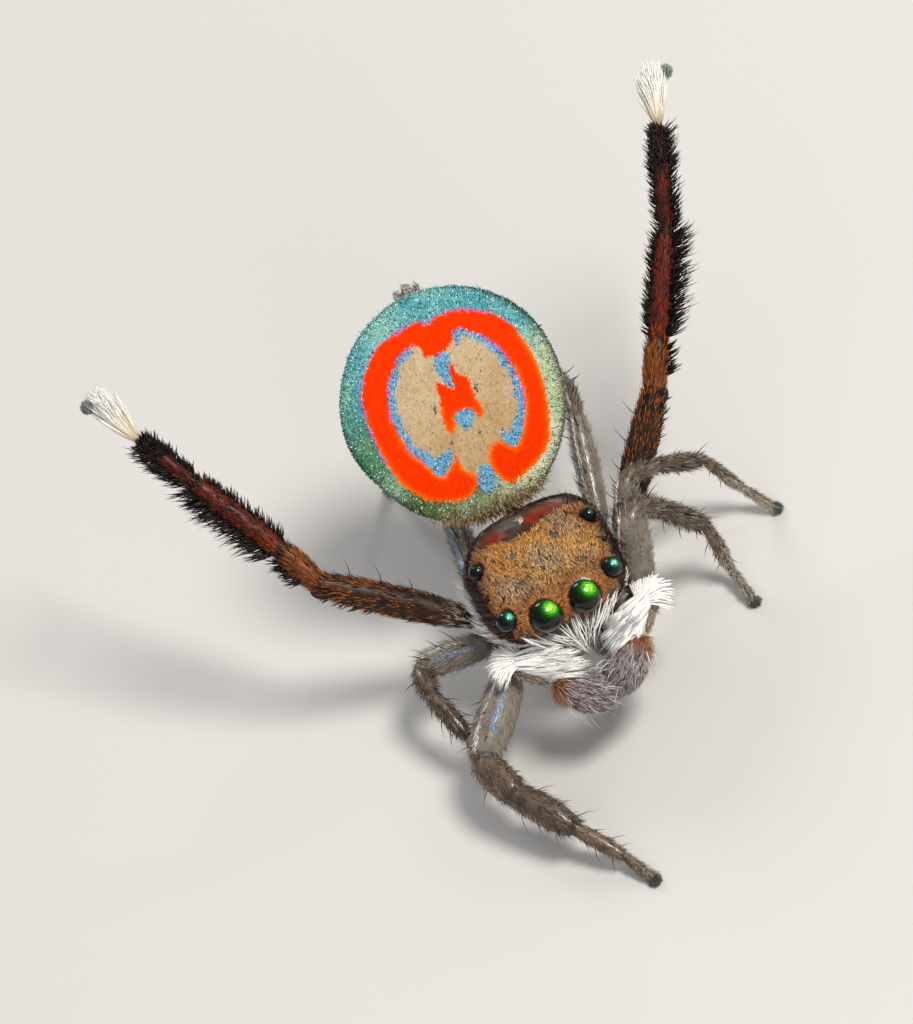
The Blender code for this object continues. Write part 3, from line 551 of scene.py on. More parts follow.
# The fan: the round patterned plate raised behind the head, on the soft abdomen.
# Its outlines are in its own plane, across to its left and along towards its tip.
fan = {
    "centre": np.array([-0.09, 2.56, 1.086]), "tilt": 58.0, "twist": -6.0,
    "radii": (1.35, 1.41, 1.45, 1.46, 1.41, 1.34, 1.31, 1.29, 1.39, 1.44, 1.43, 1.36),
    "front": 0.11, "back": 0.07, "inset": 0.016, "columns": 240,
    "belly": {"halfWidth": 0.93, "halfLength": 1.20, "depth": 0.52, "setBack": 0.28},
    "scaleSeeds": 60000, "scaleCount": 30000, "scaleLength": 0.040, "scaleWidth": 0.020,
    "fleckShare": 0.055, "fleckTone": 0.34, "glintShare": 0.10, "backStart": -0.085, "backRows": 40,
    "bellyInset": 0.012, "mapWidth": 6.4,
    # share of the way out to the rim, and the height as a share of "front" above and of "back" below
    "profile": ((0.03, 1), (0.20, 1), (0.40, 1), (0.72, 0.88), (0.93, 0.68), (0.985, 0.42), (1.0, -0.1),
                (0.985, -0.6), (0.93, -0.95)),
    "red": colour(240, 54, 0), "orange": colour(246, 106, 0), "violet": colour(158, 132, 196),
    "tan": colour(198, 174, 138), "brown": colour(182, 146, 98), "foot": colour(168, 160, 112),
    "glint": colour(205, 240, 226), "rear": colour(92, 80, 64),
    "blue": colour(112, 168, 200), "teal": colour(90, 168, 176), "green": colour(72, 130, 90),
    "paleGreen": colour(176, 214, 186), "sage": colour(190, 200, 158), "cream": colour(232, 232, 196),
    "moss": colour(98, 106, 64), "shade": colour(58, 62, 44), "fleck": colour(60, 48, 38),
    "ring": ((-0.14, -0.76), (-0.02, -0.92), (-0.18, -1.11), (-0.42, -1.08), (-0.68, -0.94), (-0.90, -0.60),
             (-0.99, -0.10), (-0.97, 0.42), (-0.85, 0.71), (-0.58, 1.00), (-0.24, 1.10), (-0.02, 1.12),
             (0.06, 1.05), (0.22, 1.10), (0.46, 1.08), (0.77, 0.92), (0.98, 0.66), (1.09, 0.29),
             (1.09, -0.23), (0.95, -0.73), (0.78, -0.95), (0.50, -1.10), (0.29, -1.13), (0.17, -0.86),
             (0.24, -0.61), (0.39, -0.62), (0.51, -0.74), (0.64, -0.62), (0.80, -0.30), (0.84, 0.05),
             (0.79, 0.34), (0.66, 0.63), (0.45, 0.83), (0.32, 0.86), (0.26, 0.73), (0.08, 0.66),
             (-0.08, 0.68), (-0.13, 0.85), (-0.30, 0.85), (-0.50, 0.70), (-0.66, 0.42), (-0.72, 0.07),
             (-0.65, -0.32), (-0.54, -0.52), (-0.43, -0.74), (-0.30, -0.69), (-0.17, -0.56)),
    "field": ((0.0, 0.95), (-0.5, 0.88), (-0.8, 0.5), (-0.85, 0.1), (-0.8, -0.4), (-0.5, -0.85),
              (-0.1, -0.98), (0.06, -1.02), (0.3, -0.95), (0.7, -0.75), (0.92, -0.3), (0.95, 0.2),
              (0.85, 0.6), (0.5, 0.95)),
    "heart": ((0.16, 0.52), (0.19, 0.36), (0.29, 0.30), (0.29, 0.08), (0.32, -0.18), (0.25, -0.25),
              (0.21, -0.13), (0.10, -0.08), (-0.02, -0.12), (-0.05, -0.22), (-0.12, -0.29), (-0.17, -0.14),
              (-0.10, 0.22), (-0.08, 0.37), (0.00, 0.30), (0.09, 0.20), (0.11, 0.38)),
    "blueSpots": (((0.06, 0.68), (0.18, 0.63), (0.15, 0.48), (0.10, 0.22), (0.00, 0.36), (-0.02, 0.58)),
                  ((-0.07, -0.12), (0.04, -0.04), (0.16, -0.06), (0.22, -0.15), (0.15, -0.27), (0.05, -0.33),
                   (0.02, -0.22)),
                  ((0.04, -0.80), (0.17, -0.84), (0.16, -1.04), (0.05, -1.16), (-0.05, -1.03))),
    # small dark pits: across, along, half width and half length
    "pits": ((0.33, 0.11, 0.018, 0.050), (-0.21, 0.05, 0.018, 0.050), (0.19, -0.40, 0.014, 0.030),
             (-0.16, -0.40, 0.022, 0.022)),
}


def fanAxes():
    tilt, twist = math.radians(fan["tilt"]), math.radians(fan["twist"])
    along = np.array([0, math.cos(tilt), math.sin(tilt)])
    across = np.array([1.0, 0, 0])
    c, s = math.cos(twist), math.sin(twist)
    return across * c + along * s, along * c - across * s, np.array([0, -math.sin(tilt), math.cos(tilt)])


fanAcross, fanAlong, fanOut = fanAxes()


def fanRadius(angle):
    radii = np.array(fan["radii"])
    place = (angle % (2 * math.pi)) / (2 * math.pi) * len(radii)
    k = place.astype(int) % len(radii)
    f = place - np.floor(place)
    a, b, c, d = (radii[(k + i) % len(radii)] for i in (-1, 0, 1, 2))
    return b + 0.5 * f * (c - a + f * (2 * a - 5 * b + 4 * c - d + f * (3 * (b - c) + d - a)))


def onFan(points):
    return (points - fan["centre"]) @ np.stack([fanAcross, fanAlong, fanOut], 1)


# Share of the way from the fan's middle to its rim
def rimShare(plane):
    return np.linalg.norm(plane[:, :2], axis=1) / fanRadius(np.arctan2(plane[:, 1], plane[:, 0]))


def fanRadial(plane):
    return unit(fanAcross * plane[:, :1] + fanAlong * plane[:, 1:2])


def inside(outline, points):
    found = np.zeros(len(points), bool)
    for (ax, ay), (bx, by) in zip(outline, np.roll(outline, -1, axis=0)):
        if ay != by:
            crosses = (ay > points[:, 1]) != (by > points[:, 1])
            found ^= crosses & (points[:, 0] < (bx - ax) * (points[:, 1] - ay) / (by - ay) + ax)
    return found


def edgeDistance(outline, points):
    best = np.full(len(points), 9.0)
    for a, b in zip(outline, np.roll(outline, -1, axis=0)):
        span = b - a
        t = np.clip(((points - a) @ span) / max(span @ span, 1e-9), 0, 1)
        best = np.minimum(best, np.linalg.norm(points - a - t[:, None] * span, axis=1))
    return best


# The fan's markings: a colour for each place, and whether it is a shimmering one
def fanMarkings(plane, chance=None):
    p = plane[:, :2]
    x, y = p[:, 0], p[:, 1]
    ragged = p + 0.010 * np.stack([cloud(p, 0.09, 31), cloud(p, 0.09, 32)], -1)
    if chance is not None:
        ragged = ragged + chance.normal(scale=0.005, size=p.shape)
    ring, heart, field = (curveThrough(fan[name], 4, closed=True) for name in ("ring", "heart", "field"))
    share = rimShare(plane)
    # rim: teal above, mossy green low on one side, pale sage to cream on the other
    low = smoothStep(0.60, -0.35, y + 0.1 * x + 0.12 * cloud(p, 0.5, 36))
    moss = smoothStep(-0.3, -1.0, y + 0.1 * cloud(p, 0.4, 37))
    tint = blend(blend(fan["teal"], fan["green"], low), fan["moss"], moss * 0.8)
    right = smoothStep(0.2, 0.7, x - 0.25 * y) * smoothStep(0.75, 0.2, y)
    tint = blend(tint, blend(fan["sage"], fan["cream"], moss), right * 0.85)
    pale = smoothStep(-0.1, 1.5, cloud(p, 1.1, 33) + 0.7 * smoothStep(0.5, 1.2, y - 0.5 * x))
    tint = blend(tint, fan["paleGreen"], pale * 0.45)
    tint = blend(tint, fan["foot"], 0.6 * smoothStep(-1.0, -1.3, y))
    # painted shade: the rim darkens towards its edge on one side, where it curves away from the light
    tint = blend(tint, fan["shade"], 0.8 * smoothStep(0.90, 1.0, share) * smoothStep(0.3, 1.2, x))
    # field: sand with fine rays, and a blue band inside the red ring
    inField = inside(field, ragged)
    ringGap = edgeDistance(ring, ragged)
    ray = cloud(np.stack([np.arctan2(y, x) * 2.2, share * 0.35], -1), 0.16, 38) * 0.08
    worn = smoothStep(0.5, -0.8, y - 0.4 * x + 0.35 * cloud(p, 0.6, 39)) * 0.7
    sand = blend(fan["tan"], fan["brown"], worn) * (1 + ray)[:, None]
    tint = np.where(inField[:, None], sand, tint)
    wide = 0.085 + 0.06 * smoothStep(-0.35, -0.55, y) + 0.02 * cloud(p, 0.3, 34)
    blue = inField & (ringGap < wide) & ((x < -0.2) | (x > 0.3)) & (y > -0.9)
    blue &= ~((x > 0.2) & (x < 0.42) & (y < 0))
    for spot in fan["blueSpots"]:
        blue = blue | inside(curveThrough(spot, 3, closed=True), ragged)
    tint = np.where(blue[:, None], fan["blue"], tint)
    # the red ring and heart, warmer along their lower edges, and a violet seam along the upper ones
    red = inside(ring, ragged) | inside(heart, ragged)
    edge = np.minimum(ringGap, edgeDistance(heart, ragged))
    height = y - 0.55 * np.maximum(x, 0)
    warm = (1 - smoothStep(0.0, 0.07, edge)) * smoothStep(0.3, -0.4, height + 0.25 * cloud(p, 0.6, 35))
    tint = np.where(red[:, None], blend(fan["red"], fan["orange"], warm), tint)
    shimmer = (~inField | blue) & ~red
    seam = shimmer & (ringGap < 0.018) & (y > -0.5) & (inField | (y - 0.9 * x > -0.3))
    tint = np.where(seam[:, None], fan["violet"], tint)
    for a, b, halfWidth, halfLength in fan["pits"]:
        dark = np.hypot((x - a) / halfWidth, (y - b) / halfLength) < 1
        tint = np.where(dark[:, None], fan["fleck"], tint)
        shimmer &= ~dark
    return tint, np.where(red, 2, np.where(shimmer, 1, 0))


def makeAbdomen():
    belly = fan["belly"]
    a = circle(fan["columns"])
    front = curveThrough([(share, k * fan["front" if k > 0 else "back"]) for share, k in fan["profile"]], 10)
    radius = fanRadius(a) * front[:, :1] - fan["inset"] * smoothStep(0, 1, front[:, :1])
    height = front[:, 1:] - fan["inset"] * np.sign(front[:, 1:])
    bellyRadius = 1 / np.sqrt((np.cos(a) / belly["halfWidth"]) ** 2 + (np.sin(a) / belly["halfLength"]) ** 2)
    lift = np.linspace(fan["backStart"], 0.004 - belly["setBack"] - belly["depth"], fan["backRows"])[:, None]
    turn = np.sqrt(np.clip(1 - ((lift + belly["setBack"]) / belly["depth"]) ** 2, 0, 1))
    under = np.maximum(bellyRadius * turn - fan["bellyInset"], 0.01)
    under[0] = (under[0] + radius[-1]) / 2
    radius = np.concatenate([radius, under])
    height = np.concatenate([height, lift])[..., None]
    points = (fan["centre"] + fanAcross * (radius * np.cos(a))[..., None]
              + fanAlong * (radius * np.sin(a))[..., None] + fanOut * height)
    skin = gridSkin(points)
    skin["map"] = discMap(skin)
    plane = onFan(skin["verts"])
    tint = fanMarkings(plane)[0]
    skin["tint"] = blend(tint * 0.8, fan["rear"], smoothStep(-0.03, -0.09, plane[:, 2]))
    return skin


# The front and the back of the abdomen as two discs side by side
def discMap(skin):
    plane = onFan(skin["verts"])[skin["tris"]]
    behind = plane[..., 2].mean(1) < -0.03
    u = plane[..., 0] / fan["mapWidth"]
    u = np.where(behind[:, None], 0.75 - u, 0.25 + u)
    return np.stack([u, 0.5 + plane[..., 1] / fan["mapWidth"]], -1)


# Each spinneret's shift to the side and out, its radius and where along the fan it ends
spinnerets = {
    "tubes": ((0.0, 0.0, 0.075, 1.50), (0.13, -0.05, 0.052, 1.44), (-0.13, -0.05, 0.052, 1.44)),
    "profile": ((0, 1.0), (0.4, 1.05), (0.7, 0.98), (0.88, 0.8), (0.97, 0.5), (1.0, 0.2)),
    "start": 0.92, "setBack": 0.30, "hairs": 420, "hairLength": 0.085, "hairWidth": 0.009,
    "skin": colour(116, 106, 96), "hair": colour(226, 222, 216),
}


def spinneretTubes():
    parts = []
    for shift, out, radius, reach in spinnerets["tubes"]:
        base = fan["centre"] + fanOut * (out - spinnerets["setBack"])
        start = base + fanAlong * spinnerets["start"] + fanAcross * shift * 0.4
        tip = base + fanAlong * reach + fanAcross * shift
        rows = [(t, radius * k) for t, k in spinnerets["profile"]]
        parts.append(paint(tubeSkin(start, tip, rows, 20, fanOut), spinnerets["skin"]))
    return parts


# Soft grey hair over the spinnerets
def spinneretHair(tubes, chance):
    parts = []
    count = spinnerets["hairs"]
    for tube in tubes:
        found = scatter(tube, count, chance)
        jitter = chance.normal(scale=0.22, size=(count, 3))
        tint = spinnerets["hair"] * chance.uniform(0.8, 1.1, (count, 1))
        length = spinnerets["hairLength"] * chance.uniform(0.6, 1.3, count)
        leave, end = fanAlong + found["normal"] * 0.6 + jitter, fanAlong + jitter
        parts.append(growHair(found, leave, end, length, spinnerets["hairWidth"], tint * 0.8, tint))
    return parts


def dressAbdomen(skin):
    chance = np.random.default_rng(41)
    found = scatter(skin, fan["scaleSeeds"], chance)
    found = pick(found, onFan(found["root"])[:, 2] > -0.06)
    found = pick(found, slice(fan["scaleCount"]))
    plane = onFan(found["root"])
    tint, zone = fanMarkings(plane, chance)
    count = len(tint)
    lie = blend(fanAlong, fanRadial(plane), smoothStep(0.75, 0.97, rimShare(plane)))
    lie = unit(lie) + chance.normal(scale=0.30, size=(count, 3))
    plain, lively = zone == 0, zone == 1
    spark = chance.uniform(0.35, 1.6, (count, 1)) * (1 + 0.10 * chance.normal(size=(count, 3)))
    still = chance.uniform(0.86, 1.1, (count, 1))
    flecks = plain & (chance.random(count) < fan["fleckShare"])
    still = np.where(flecks[:, None], fan["fleckTone"], still)
    tint = tint * np.where(lively[:, None], spark, still)
    glint = lively & (chance.random(count) < fan["glintShare"])
    tint = np.where(glint[:, None], fan["glint"], tint)
    length = fan["scaleLength"] * chance.uniform(0.8, 1.3, count) * np.where(plain, 1.3, 1)
    width = fan["scaleWidth"] * chance.uniform(0.8, 1.2, count) * np.where(plain, 0.55, 1)
    lift = np.where(lively, chance.uniform(0.0, 0.45, count), chance.uniform(0.03, 0.16, count))
    for name, finish, k in (("Plain", fanFinish, ~lively), ("Shimmer", shimmerFinish, lively)):
        part = growScales(pick(found, k), lie[k], length[k], width[k], tint[k], lift[k])
        addPiece("fanScales" + name, [part], finish)
    print("fan scales", count)


# Brown hair over the belly and round the back of the rim, and tan hair standing at the fan's foot
bellyCoat = {"seeds": 26000, "length": 0.11, "width": 0.013, "brown": colour(96, 84, 68),
             "tan": colour(172, 142, 100)}


def dressBelly(skin):
    chance = np.random.default_rng(42)
    found = scatter(skin, bellyCoat["seeds"], chance)
    plane = onFan(found["root"])
    foot = smoothStep(-1.12, -1.30, plane[:, 1]) * (plane[:, 2] > -0.1)
    keep = (plane[:, 2] < -0.04) | (chance.random(len(plane)) < foot * 0.8)
    found, plane, foot = pick(found, keep), plane[keep], foot[keep]
    count = len(plane)
    radial = fanRadial(plane)
    lie = blend(fanAlong + radial * 0.4, radial, foot)
    jitter = chance.normal(scale=0.25, size=(count, 3))
    leave = unit(found["normal"] * 0.5 + lie * 0.8 + jitter)
    leave = blend(leave, unit(radial + fanOut * 0.4 + jitter), foot)
    end = unit(lie + found["normal"] * 0.10 + jitter * 0.7)
    base = blend(bellyCoat["brown"], bellyCoat["tan"], foot)
    grey = chance.random((count, 1)) < 0.3
    base = np.where(grey, base * 1.5, base) * chance.uniform(0.6, 1.3, (count, 1))
    length = bellyCoat["length"] * chance.uniform(0.7, 1.3, count)
    part = growHair(found, leave, end, length, bellyCoat["width"], base * 0.7, base * 1.1)
    addPiece("bellyHair", [part], hairFinish)
    print("belly hair", count)


def makeFan():
    skin = makeAbdomen()
    tubes = spinneretTubes()
    addPiece("spinneretHair", spinneretHair(tubes, np.random.default_rng(44)), hairFinish)
    nodes = ["abdomen", "abdomen_fan", "spinnerets"]
    addPiece("abdomenSkin", [skin] + tubes, bellyFinish, nodes)
    dressAbdomen(skin)
    dressBelly(skin)
    print("fan made")


makeFan()

# Eyes: polished balls with a painted green highlight on the side that the light comes from
eyeLook = {
    "paintedHighlightWay": (0.474, -0.342, 0.813), "around": 64, "along": 40, "speckle": 0.02,
    # share of the way to the painted highlight, and the colour there
    "front_middle": ((0.30, colour(2, 5, 3)), (0.60, colour(3, 15, 4)), (0.78, colour(6, 44, 5)),
                     (0.88, colour(22, 104, 8)), (0.955, colour(78, 204, 20)), (1.0, colour(190, 255, 84))),
    "front_outer": ((0.5, colour(2, 5, 5)), (0.76, colour(3, 20, 17)), (0.90, colour(8, 70, 56)),
                    (0.97, colour(38, 170, 140)), (1.0, colour(190, 255, 240))),
    "rear": ((0.5, colour(5, 5, 5)), (0.92, colour(10, 20, 18)), (1.0, colour(40, 90, 78))),
    "small": ((0.4, colour(6, 6, 6)), (1.0, colour(16, 22, 20))),
}


# A wet lens whose colour, from the tint, is broken into fine bright and dark specks
def makeLensFinish():
    wet = {"Specular IOR Level": 0.15, "Coat Weight": 0.7, "Coat Roughness": 0.03, "Coat IOR": 1.4}
    material = makeFinish("lens", 0.25, grain=0.0, **wet)
    tree = material.node_tree
    cells = addNode(tree, "TexVoronoi", Scale=1 / (eyeLook["speckle"] * mm))
    speck = addNode(tree, "MapRange", **{"From Max": 0.75, "To Min": 1.35, "To Max": 0.35})
    mix = next(node for node in tree.nodes if node.type == "MIX")
    tree.links.new(tree.nodes["Texture Coordinate"].outputs["Object"], cells.inputs["Vector"])
    tree.links.new(cells.outputs["Distance"], speck.inputs["Value"])
    tree.links.new(speck.outputs["Result"], mix.inputs["B"])
    return material


def makeEyes():
    finish = makeLensFinish()
    way = ballWays(eyeLook["along"], eyeLook["around"], 0.02)
    for name, side, centre, radius in eyeCentres():
        ball = gridSkin(centre + way * (radius - 0.003))
        # painted highlight: each eye's colour brightens towards the way the light comes from
        paintedHighlight = (ball["normals"] * unit(eyeLook["paintedHighlightWay"])).sum(-1)
        steps, colours = zip(*eyeLook[name])
        ball["tint"] = np.stack([np.interp(paintedHighlight, steps, [c[i] for c in colours]) for i in range(3)], -1)
        node = "eye_%s_%s" % (name, side)
        addPiece(node + "_lens", [ball], finish, [node])
    print("eyes made")


makeEyes()

# Legs: joint centres from the body out to the claws, and the radius of each segment
legs = {
    "leg_1_left": {
        "joints": ((0.42, 0.32, -0.77), (0.88, 0.33, -0.84), (1.19, 0.65, 0.21), (1.48, 0.90, -0.28),
                   (1.91, 0.85, -0.95), (1.93, 0.64, -1.57), (2.00, 0.17, -1.75)),
        "radii": (0.140, 0.205, 0.150, 0.135, 0.085, 0.062)},
    "leg_2_left": {
        "joints": ((0.42, 0.69, -0.77), (0.90, 0.70, -0.84), (1.32, 1.17, 0.16), (1.71, 1.46, -0.28),
                   (2.25, 1.65, -0.82), (2.48, 1.52, -1.39), (2.74, 1.27, -1.75)),
        "radii": (0.140, 0.160, 0.120, 0.115, 0.078, 0.058)},
    "leg_3_left": {
        "joints": ((0.42, 1.07, -0.77), (0.96, 1.10, -0.72), (2.10, 2.01, 0.31), (2.40, 2.38, 0.62),
                   (3.09, 3.24, 1.34), (3.56, 4.09, 2.05), (3.80, 4.52, 2.41)),
        "radii": (0.140, 0.190, 0.160, 0.150, 0.108, 0.068)},
    "leg_4_left": {
        "joints": ((0.36, 1.44, -0.77), (0.82, 1.52, -0.80), (1.16, 2.72, -0.27), (1.22, 3.22, -0.36),
                   (1.14, 3.90, -0.84), (0.99, 4.18, -1.46), (0.91, 4.34, -1.75)),
        "radii": (0.140, 0.155, 0.118, 0.110, 0.075, 0.056)},
    "leg_1_right": {
        "joints": ((-0.42, 0.32, -0.77), (-0.90, 0.20, -0.86), (-1.71, -0.66, -1.08), (-1.52, -1.26, -1.14),
                   (-1.08, -1.96, -1.36), (-0.73, -2.45, -1.62), (-0.55, -2.84, -1.74)),
        "radii": (0.140, 0.255, 0.200, 0.190, 0.105, 0.070)},
    "leg_2_right": {
        "joints": ((-0.42, 0.69, -0.77), (-0.94, 0.70, -0.86), (-1.85, 1.00, -1.00), (-1.87, 0.52, -0.96),
                   (-1.72, -0.10, -1.20), (-1.60, -0.44, -1.58), (-1.58, -0.66, -1.75)),
        "radii": (0.140, 0.185, 0.135, 0.120, 0.080, 0.060)},
    "leg_3_right": {
        "joints": ((-0.42, 1.07, -0.77), (-1.00, 0.98, -0.68), (-2.44, 1.71, 0.36), (-2.64, 2.12, 0.70),
                   (-3.20, 3.04, 1.47), (-3.51, 3.57, 1.92), (-3.74, 4.08, 2.34)),
        "radii": (0.140, 0.190, 0.160, 0.150, 0.108, 0.068)},
    "leg_4_right": {
        "joints": ((-0.36, 1.44, -0.77), (-0.82, 1.52, -0.82), (-0.66, 2.62, -0.62), (-0.74, 3.08, -0.58),
                   (-0.98, 3.74, -0.94), (-1.13, 4.08, -1.48), (-1.19, 4.26, -1.75)),
        "radii": (0.140, 0.155, 0.118, 0.110, 0.075, 0.056)},
}
legMake = {"inset": 0.010, "spacing": 0.028, "sides": 28, "neck": 0.80, "cornerSteps": 7,
           "padHeight": 0.045, "padRadius": 0.040, "spine": colour(34, 22, 16)}


# A limb's centre line with rounded joints: place, direction, part number and a frame round it
def limbPath(joints, radii, neck=0.80, reference=None):
    joints = [np.array(j, float) for j in joints]
    last = len(joints) - 1
    line, parts = [joints[0]], [0.0]
    for k in range(1, last):
        before, after = joints[k] - joints[k - 1], joints[k + 1] - joints[k]
        lb, la = np.linalg.norm(before), np.linalg.norm(after)
        turn = math.acos(np.clip(before @ after / lb / la, -1, 1))
        reach = min(0.38 * lb, 0.38 * la, max(radii[k - 1], radii[k]) * (0.25 + 0.8 * math.tan(turn / 2)))
        start, end = joints[k] - before / lb * reach, joints[k] + after / la * reach
        for t in np.linspace(0, 1, legMake["cornerSteps"]):
            line.append(start * (1 - t) ** 2 + joints[k] * 2 * t * (1 - t) + end * t * t)
            parts.append(k + (2 * t - 1) * (reach / lb if t < 0.5 else reach / la))
    line.append(joints[-1])
    parts.append(float(last))
    line, parts = np.array(line), np.array(parts)
    gaps = np.linalg.norm(np.diff(line, axis=0), axis=1)
    along = np.concatenate([[0], np.cumsum(gaps)])
    count = max(int(along[-1] / legMake["spacing"]), 8)
    even = np.linspace(0, along[-1], count)
    place = np.stack([np.interp(even, along, line[:, i]) for i in range(3)], -1)
    part = np.interp(even, along, parts)
    way = unit(np.gradient(place, axis=0))
    side, up = np.zeros_like(place), np.zeros_like(place)
    hint = np.array([0.13, 0.21, 1.0]) if reference is None else reference
    for i in range(count):
        up[i] = unit(hint - way[i] * (hint @ way[i]))
        side[i] = np.cross(up[i], way[i])
        hint = up[i] if reference is None else reference
    return {"place": place, "way": way, "side": side, "up": up, "part": part,
            "radius": limbRadius(part, np.array(radii), neck)}


def limbRadius(part, radii, neck):
    k = np.minimum(part.astype(int), len(radii) - 1)
    f = np.clip(part - k, 0, 1)
    other = np.where(f < 0.5, radii[np.maximum(k - 1, 0)], radii[np.minimum(k + 1, len(radii) - 1)])
    joint = neck * np.minimum(radii[k], other)
    swell = np.maximum(np.sin(math.pi * f), 0) ** 0.55
    return joint + (radii[k] - joint) * swell


def limbSkin(path, inset):
    a = circle(legMake["sides"])
    ring = path["side"][:, None] * np.cos(a)[:, None] + path["up"][:, None] * np.sin(a)[:, None]
    points = path["place"][:, None] + ring * (path["radius"] - inset)[:, None, None]
    shape = points.shape[:2]
    return gridSkin(points, {"part": np.broadcast_to(path["part"][:, None], shape),
                             "sine": np.broadcast_to(np.sin(a), shape)})


# Random places on a limb between two parts, and angles from its upper side
def limbPlaces(path, count, first, last, low, high, chance):
    where = np.nonzero((path["part"] >= first) & (path["part"] <= last))[0]
    at = chance.uniform(where[0], where[-1], count)
    rows = np.arange(len(path["part"]))
    found = {name: np.stack([np.interp(at, rows, path[name][:, i]) for i in range(3)], -1)
             for name in ("place", "way", "side", "up")}
    for name in ("part", "radius"):
        found[name] = np.interp(at, rows, path[name])
    angle = np.radians(chance.uniform(low, high, count))
    found["normal"] = unit(found["up"] * np.cos(angle)[:, None] - found["side"] * np.sin(angle)[:, None])
    found["root"] = found["place"] + found["normal"] * (found["radius"] - legMake["inset"])[:, None]
    rise, across = ((found["normal"] * found[name]).sum(-1) for name in ("up", "side"))
    turn = (np.arctan2(rise, across) / (2 * math.pi)) % 1
    found["map"] = np.stack([turn, 0.02 + 0.96 * at / (len(rows) - 1)], -1)
    found["angle"] = np.degrees(angle)
    return found


# A coat of hair on a limb. Leave and end say how far a hair follows the limb and how far it stands off.
def limbCoat(path, coat, chance, tone=None, size=None):
    count = coat["count"]
    found = limbPlaces(path, count, *coat["parts"], *coat.get("angles", (0, 360)), chance)
    jitter = chance.normal(scale=coat["spread"], size=(count, 3))
    leave, end = (found["way"] * coat[name][0] + found["normal"] * coat[name][1] + jitter
                  for name in ("leave", "end"))
    tint = coat["tone"] if tone is None else tone(found["part"], chance)
    tint = tint * chance.uniform(*coat["shade"], (count, 1))
    length = coat["length"] * chance.uniform(*coat["vary"], count)
    if size is not None:
        length = length * size(found)
    return growHair(found, leave, end, length, coat["width"], tint, tint * coat["tip"], coat["taper"])


# Places for single spines, each near its own part of the limb and angle
def spinePlaces(path, spots, slack, swing, chance):
    pieces = [limbPlaces(path, 1, part - slack, part + slack, angle - swing, angle + swing, chance)
              for part, angle in spots]
    return {name: np.concatenate([piece[name] for piece in pieces]) for name in pieces[0]}


def jointDark(part, width=0.07):
    gap = np.abs(part - np.round(part))
    return (1 - smoothStep(width * 0.4, width, gap)) * (part > 0.5) * (part < 5.6)


# Walking legs: clear grey-brown cuticle with soft hair, thin spines and dark claw tufts
walking = {
    "colours": (colour(104, 92, 80), colour(112, 103, 92), colour(92, 73, 57), colour(80, 65, 51),
                colour(98, 77, 58), colour(104, 87, 70)),
    "dark": colour(44, 32, 24), "hair": colour(150, 140, 128), "brownHair": colour(62, 42, 26),
    "coat": {"count": 2300, "parts": (0.5, 5.9), "spread": 0.2, "leave": (0.75, 0.6), "end": (1, 0.22),
             "shade": (0.6, 1.35), "tip": 1.1, "length": 0.12, "vary": (0.6, 1.3), "width": 0.0085,
             "taper": sharpTaper},
    "underFoot": {"count": 420, "parts": (4.5, 5.95), "angles": (110, 250), "spread": 0.15,
                  "leave": (0.7, 0.7), "end": (0.9, 0.5), "tone": colour(176, 168, 152), "shade": (0.7, 1.2),
                  "tip": 1.1, "length": 0.07, "vary": (0.7, 1.2), "width": 0.009, "taper": shortTaper},
    "whiteLine": {"count": 220, "parts": (1.15, 1.92), "angles": (-8, 8), "length": 0.085, "width": 0.011,
                  "tone": colour(236, 230, 220)},
    "bluePatch": {"count": 300, "parts": (1.10, 1.70), "angles": (-52, -34), "length": 0.045,
                  "width": 0.016, "tone": colour(150, 176, 200)},
    "claw": colour(84, 90, 84), "clawHairs": 420, "clawRadius": 0.030, "clawLength": 0.075,
    "clawWidth": 0.010, "spineLength": 0.27, "spineWidth": 0.017,
    # part along the leg and angle of each spine
    "spines": ((1.30, -20), (1.42, 20), (1.56, -14), (1.66, 28), (1.78, -30), (1.86, 22), (1.92, -8),
               (2.50, 60), (2.60, -64), (3.15, 118), (3.22, -112), (3.40, 126), (3.52, -128), (3.70, 112),
               (3.66, -60), (3.80, 40), (3.90, -108), (4.18, 122), (4.28, -118), (4.45, 118), (4.60, -124),
               (4.80, 100), (4.84, -96)),
}


def walkingTint(part, sine, points):
    k = np.clip(part.astype(int), 0, 5)
    base = np.array(walking["colours"])[k]
    base = base * (1 + 0.22 * cloud(points, 0.28, 51))[:, None]
    streak = smoothStep(0.45, 0.9, np.sin(9 * np.arcsin(np.clip(sine, -1, 1)) + part * 1.5))
    base = blend(base, walking["dark"], 0.45 * streak * (part > 2))
    return blend(base, walking["dark"], 0.7 * jointDark(part))


def walkingTone(part, chance):
    brown = (part > 2) & (chance.random(len(part)) < np.where(part < 4, 0.7, 0.5))
    return np.where(brown[:, None], walking["brownHair"], walking["hair"])


def makeWalkingLeg(name):
    size = legs[name]
    tip = size["joints"][-1]
    chance = np.random.default_rng(sum(ord(c) for c in name))
    path = limbPath(size["joints"], size["radii"], legMake["neck"])
    skin = limbSkin(path, legMake["inset"])
    skin["tint"] = walkingTint(skin["extra"]["part"], skin["extra"]["sine"], skin["verts"])
    nodes = [name + "_" + piece for piece in ("femur", "tibia", "foot")]
    addPiece(name + "_skin", [skin, footPad(tip)], legFinish, nodes)
    parts = [limbCoat(path, walking["coat"], chance, walkingTone,
                      lambda found: 0.6 + 0.4 * smoothStep(0.04, 0.16, found["radius"]))]
    parts += whiteLine(path, chance)
    parts.append(limbCoat(path, walking["underFoot"], chance, None,
                          lambda found: 1 + smoothStep(5.2, 5.9, found["part"]) * 5 / 7))
    parts.append(clawTuft(tip, path["way"][-1], chance))
    addPiece(name + "_hair", parts, hairFinish)
    addPiece(name + "_spines", [legSpines(path, chance)], bristleFinish)


def padCentre(tip):
    return np.array([tip[0], tip[1], floorHeight + legMake["padHeight"]])


def footPad(tip):
    return paint(gridSkin(padCentre(tip) + ballWays(12, 18) * legMake["padRadius"]), walking["claw"] * 0.6)


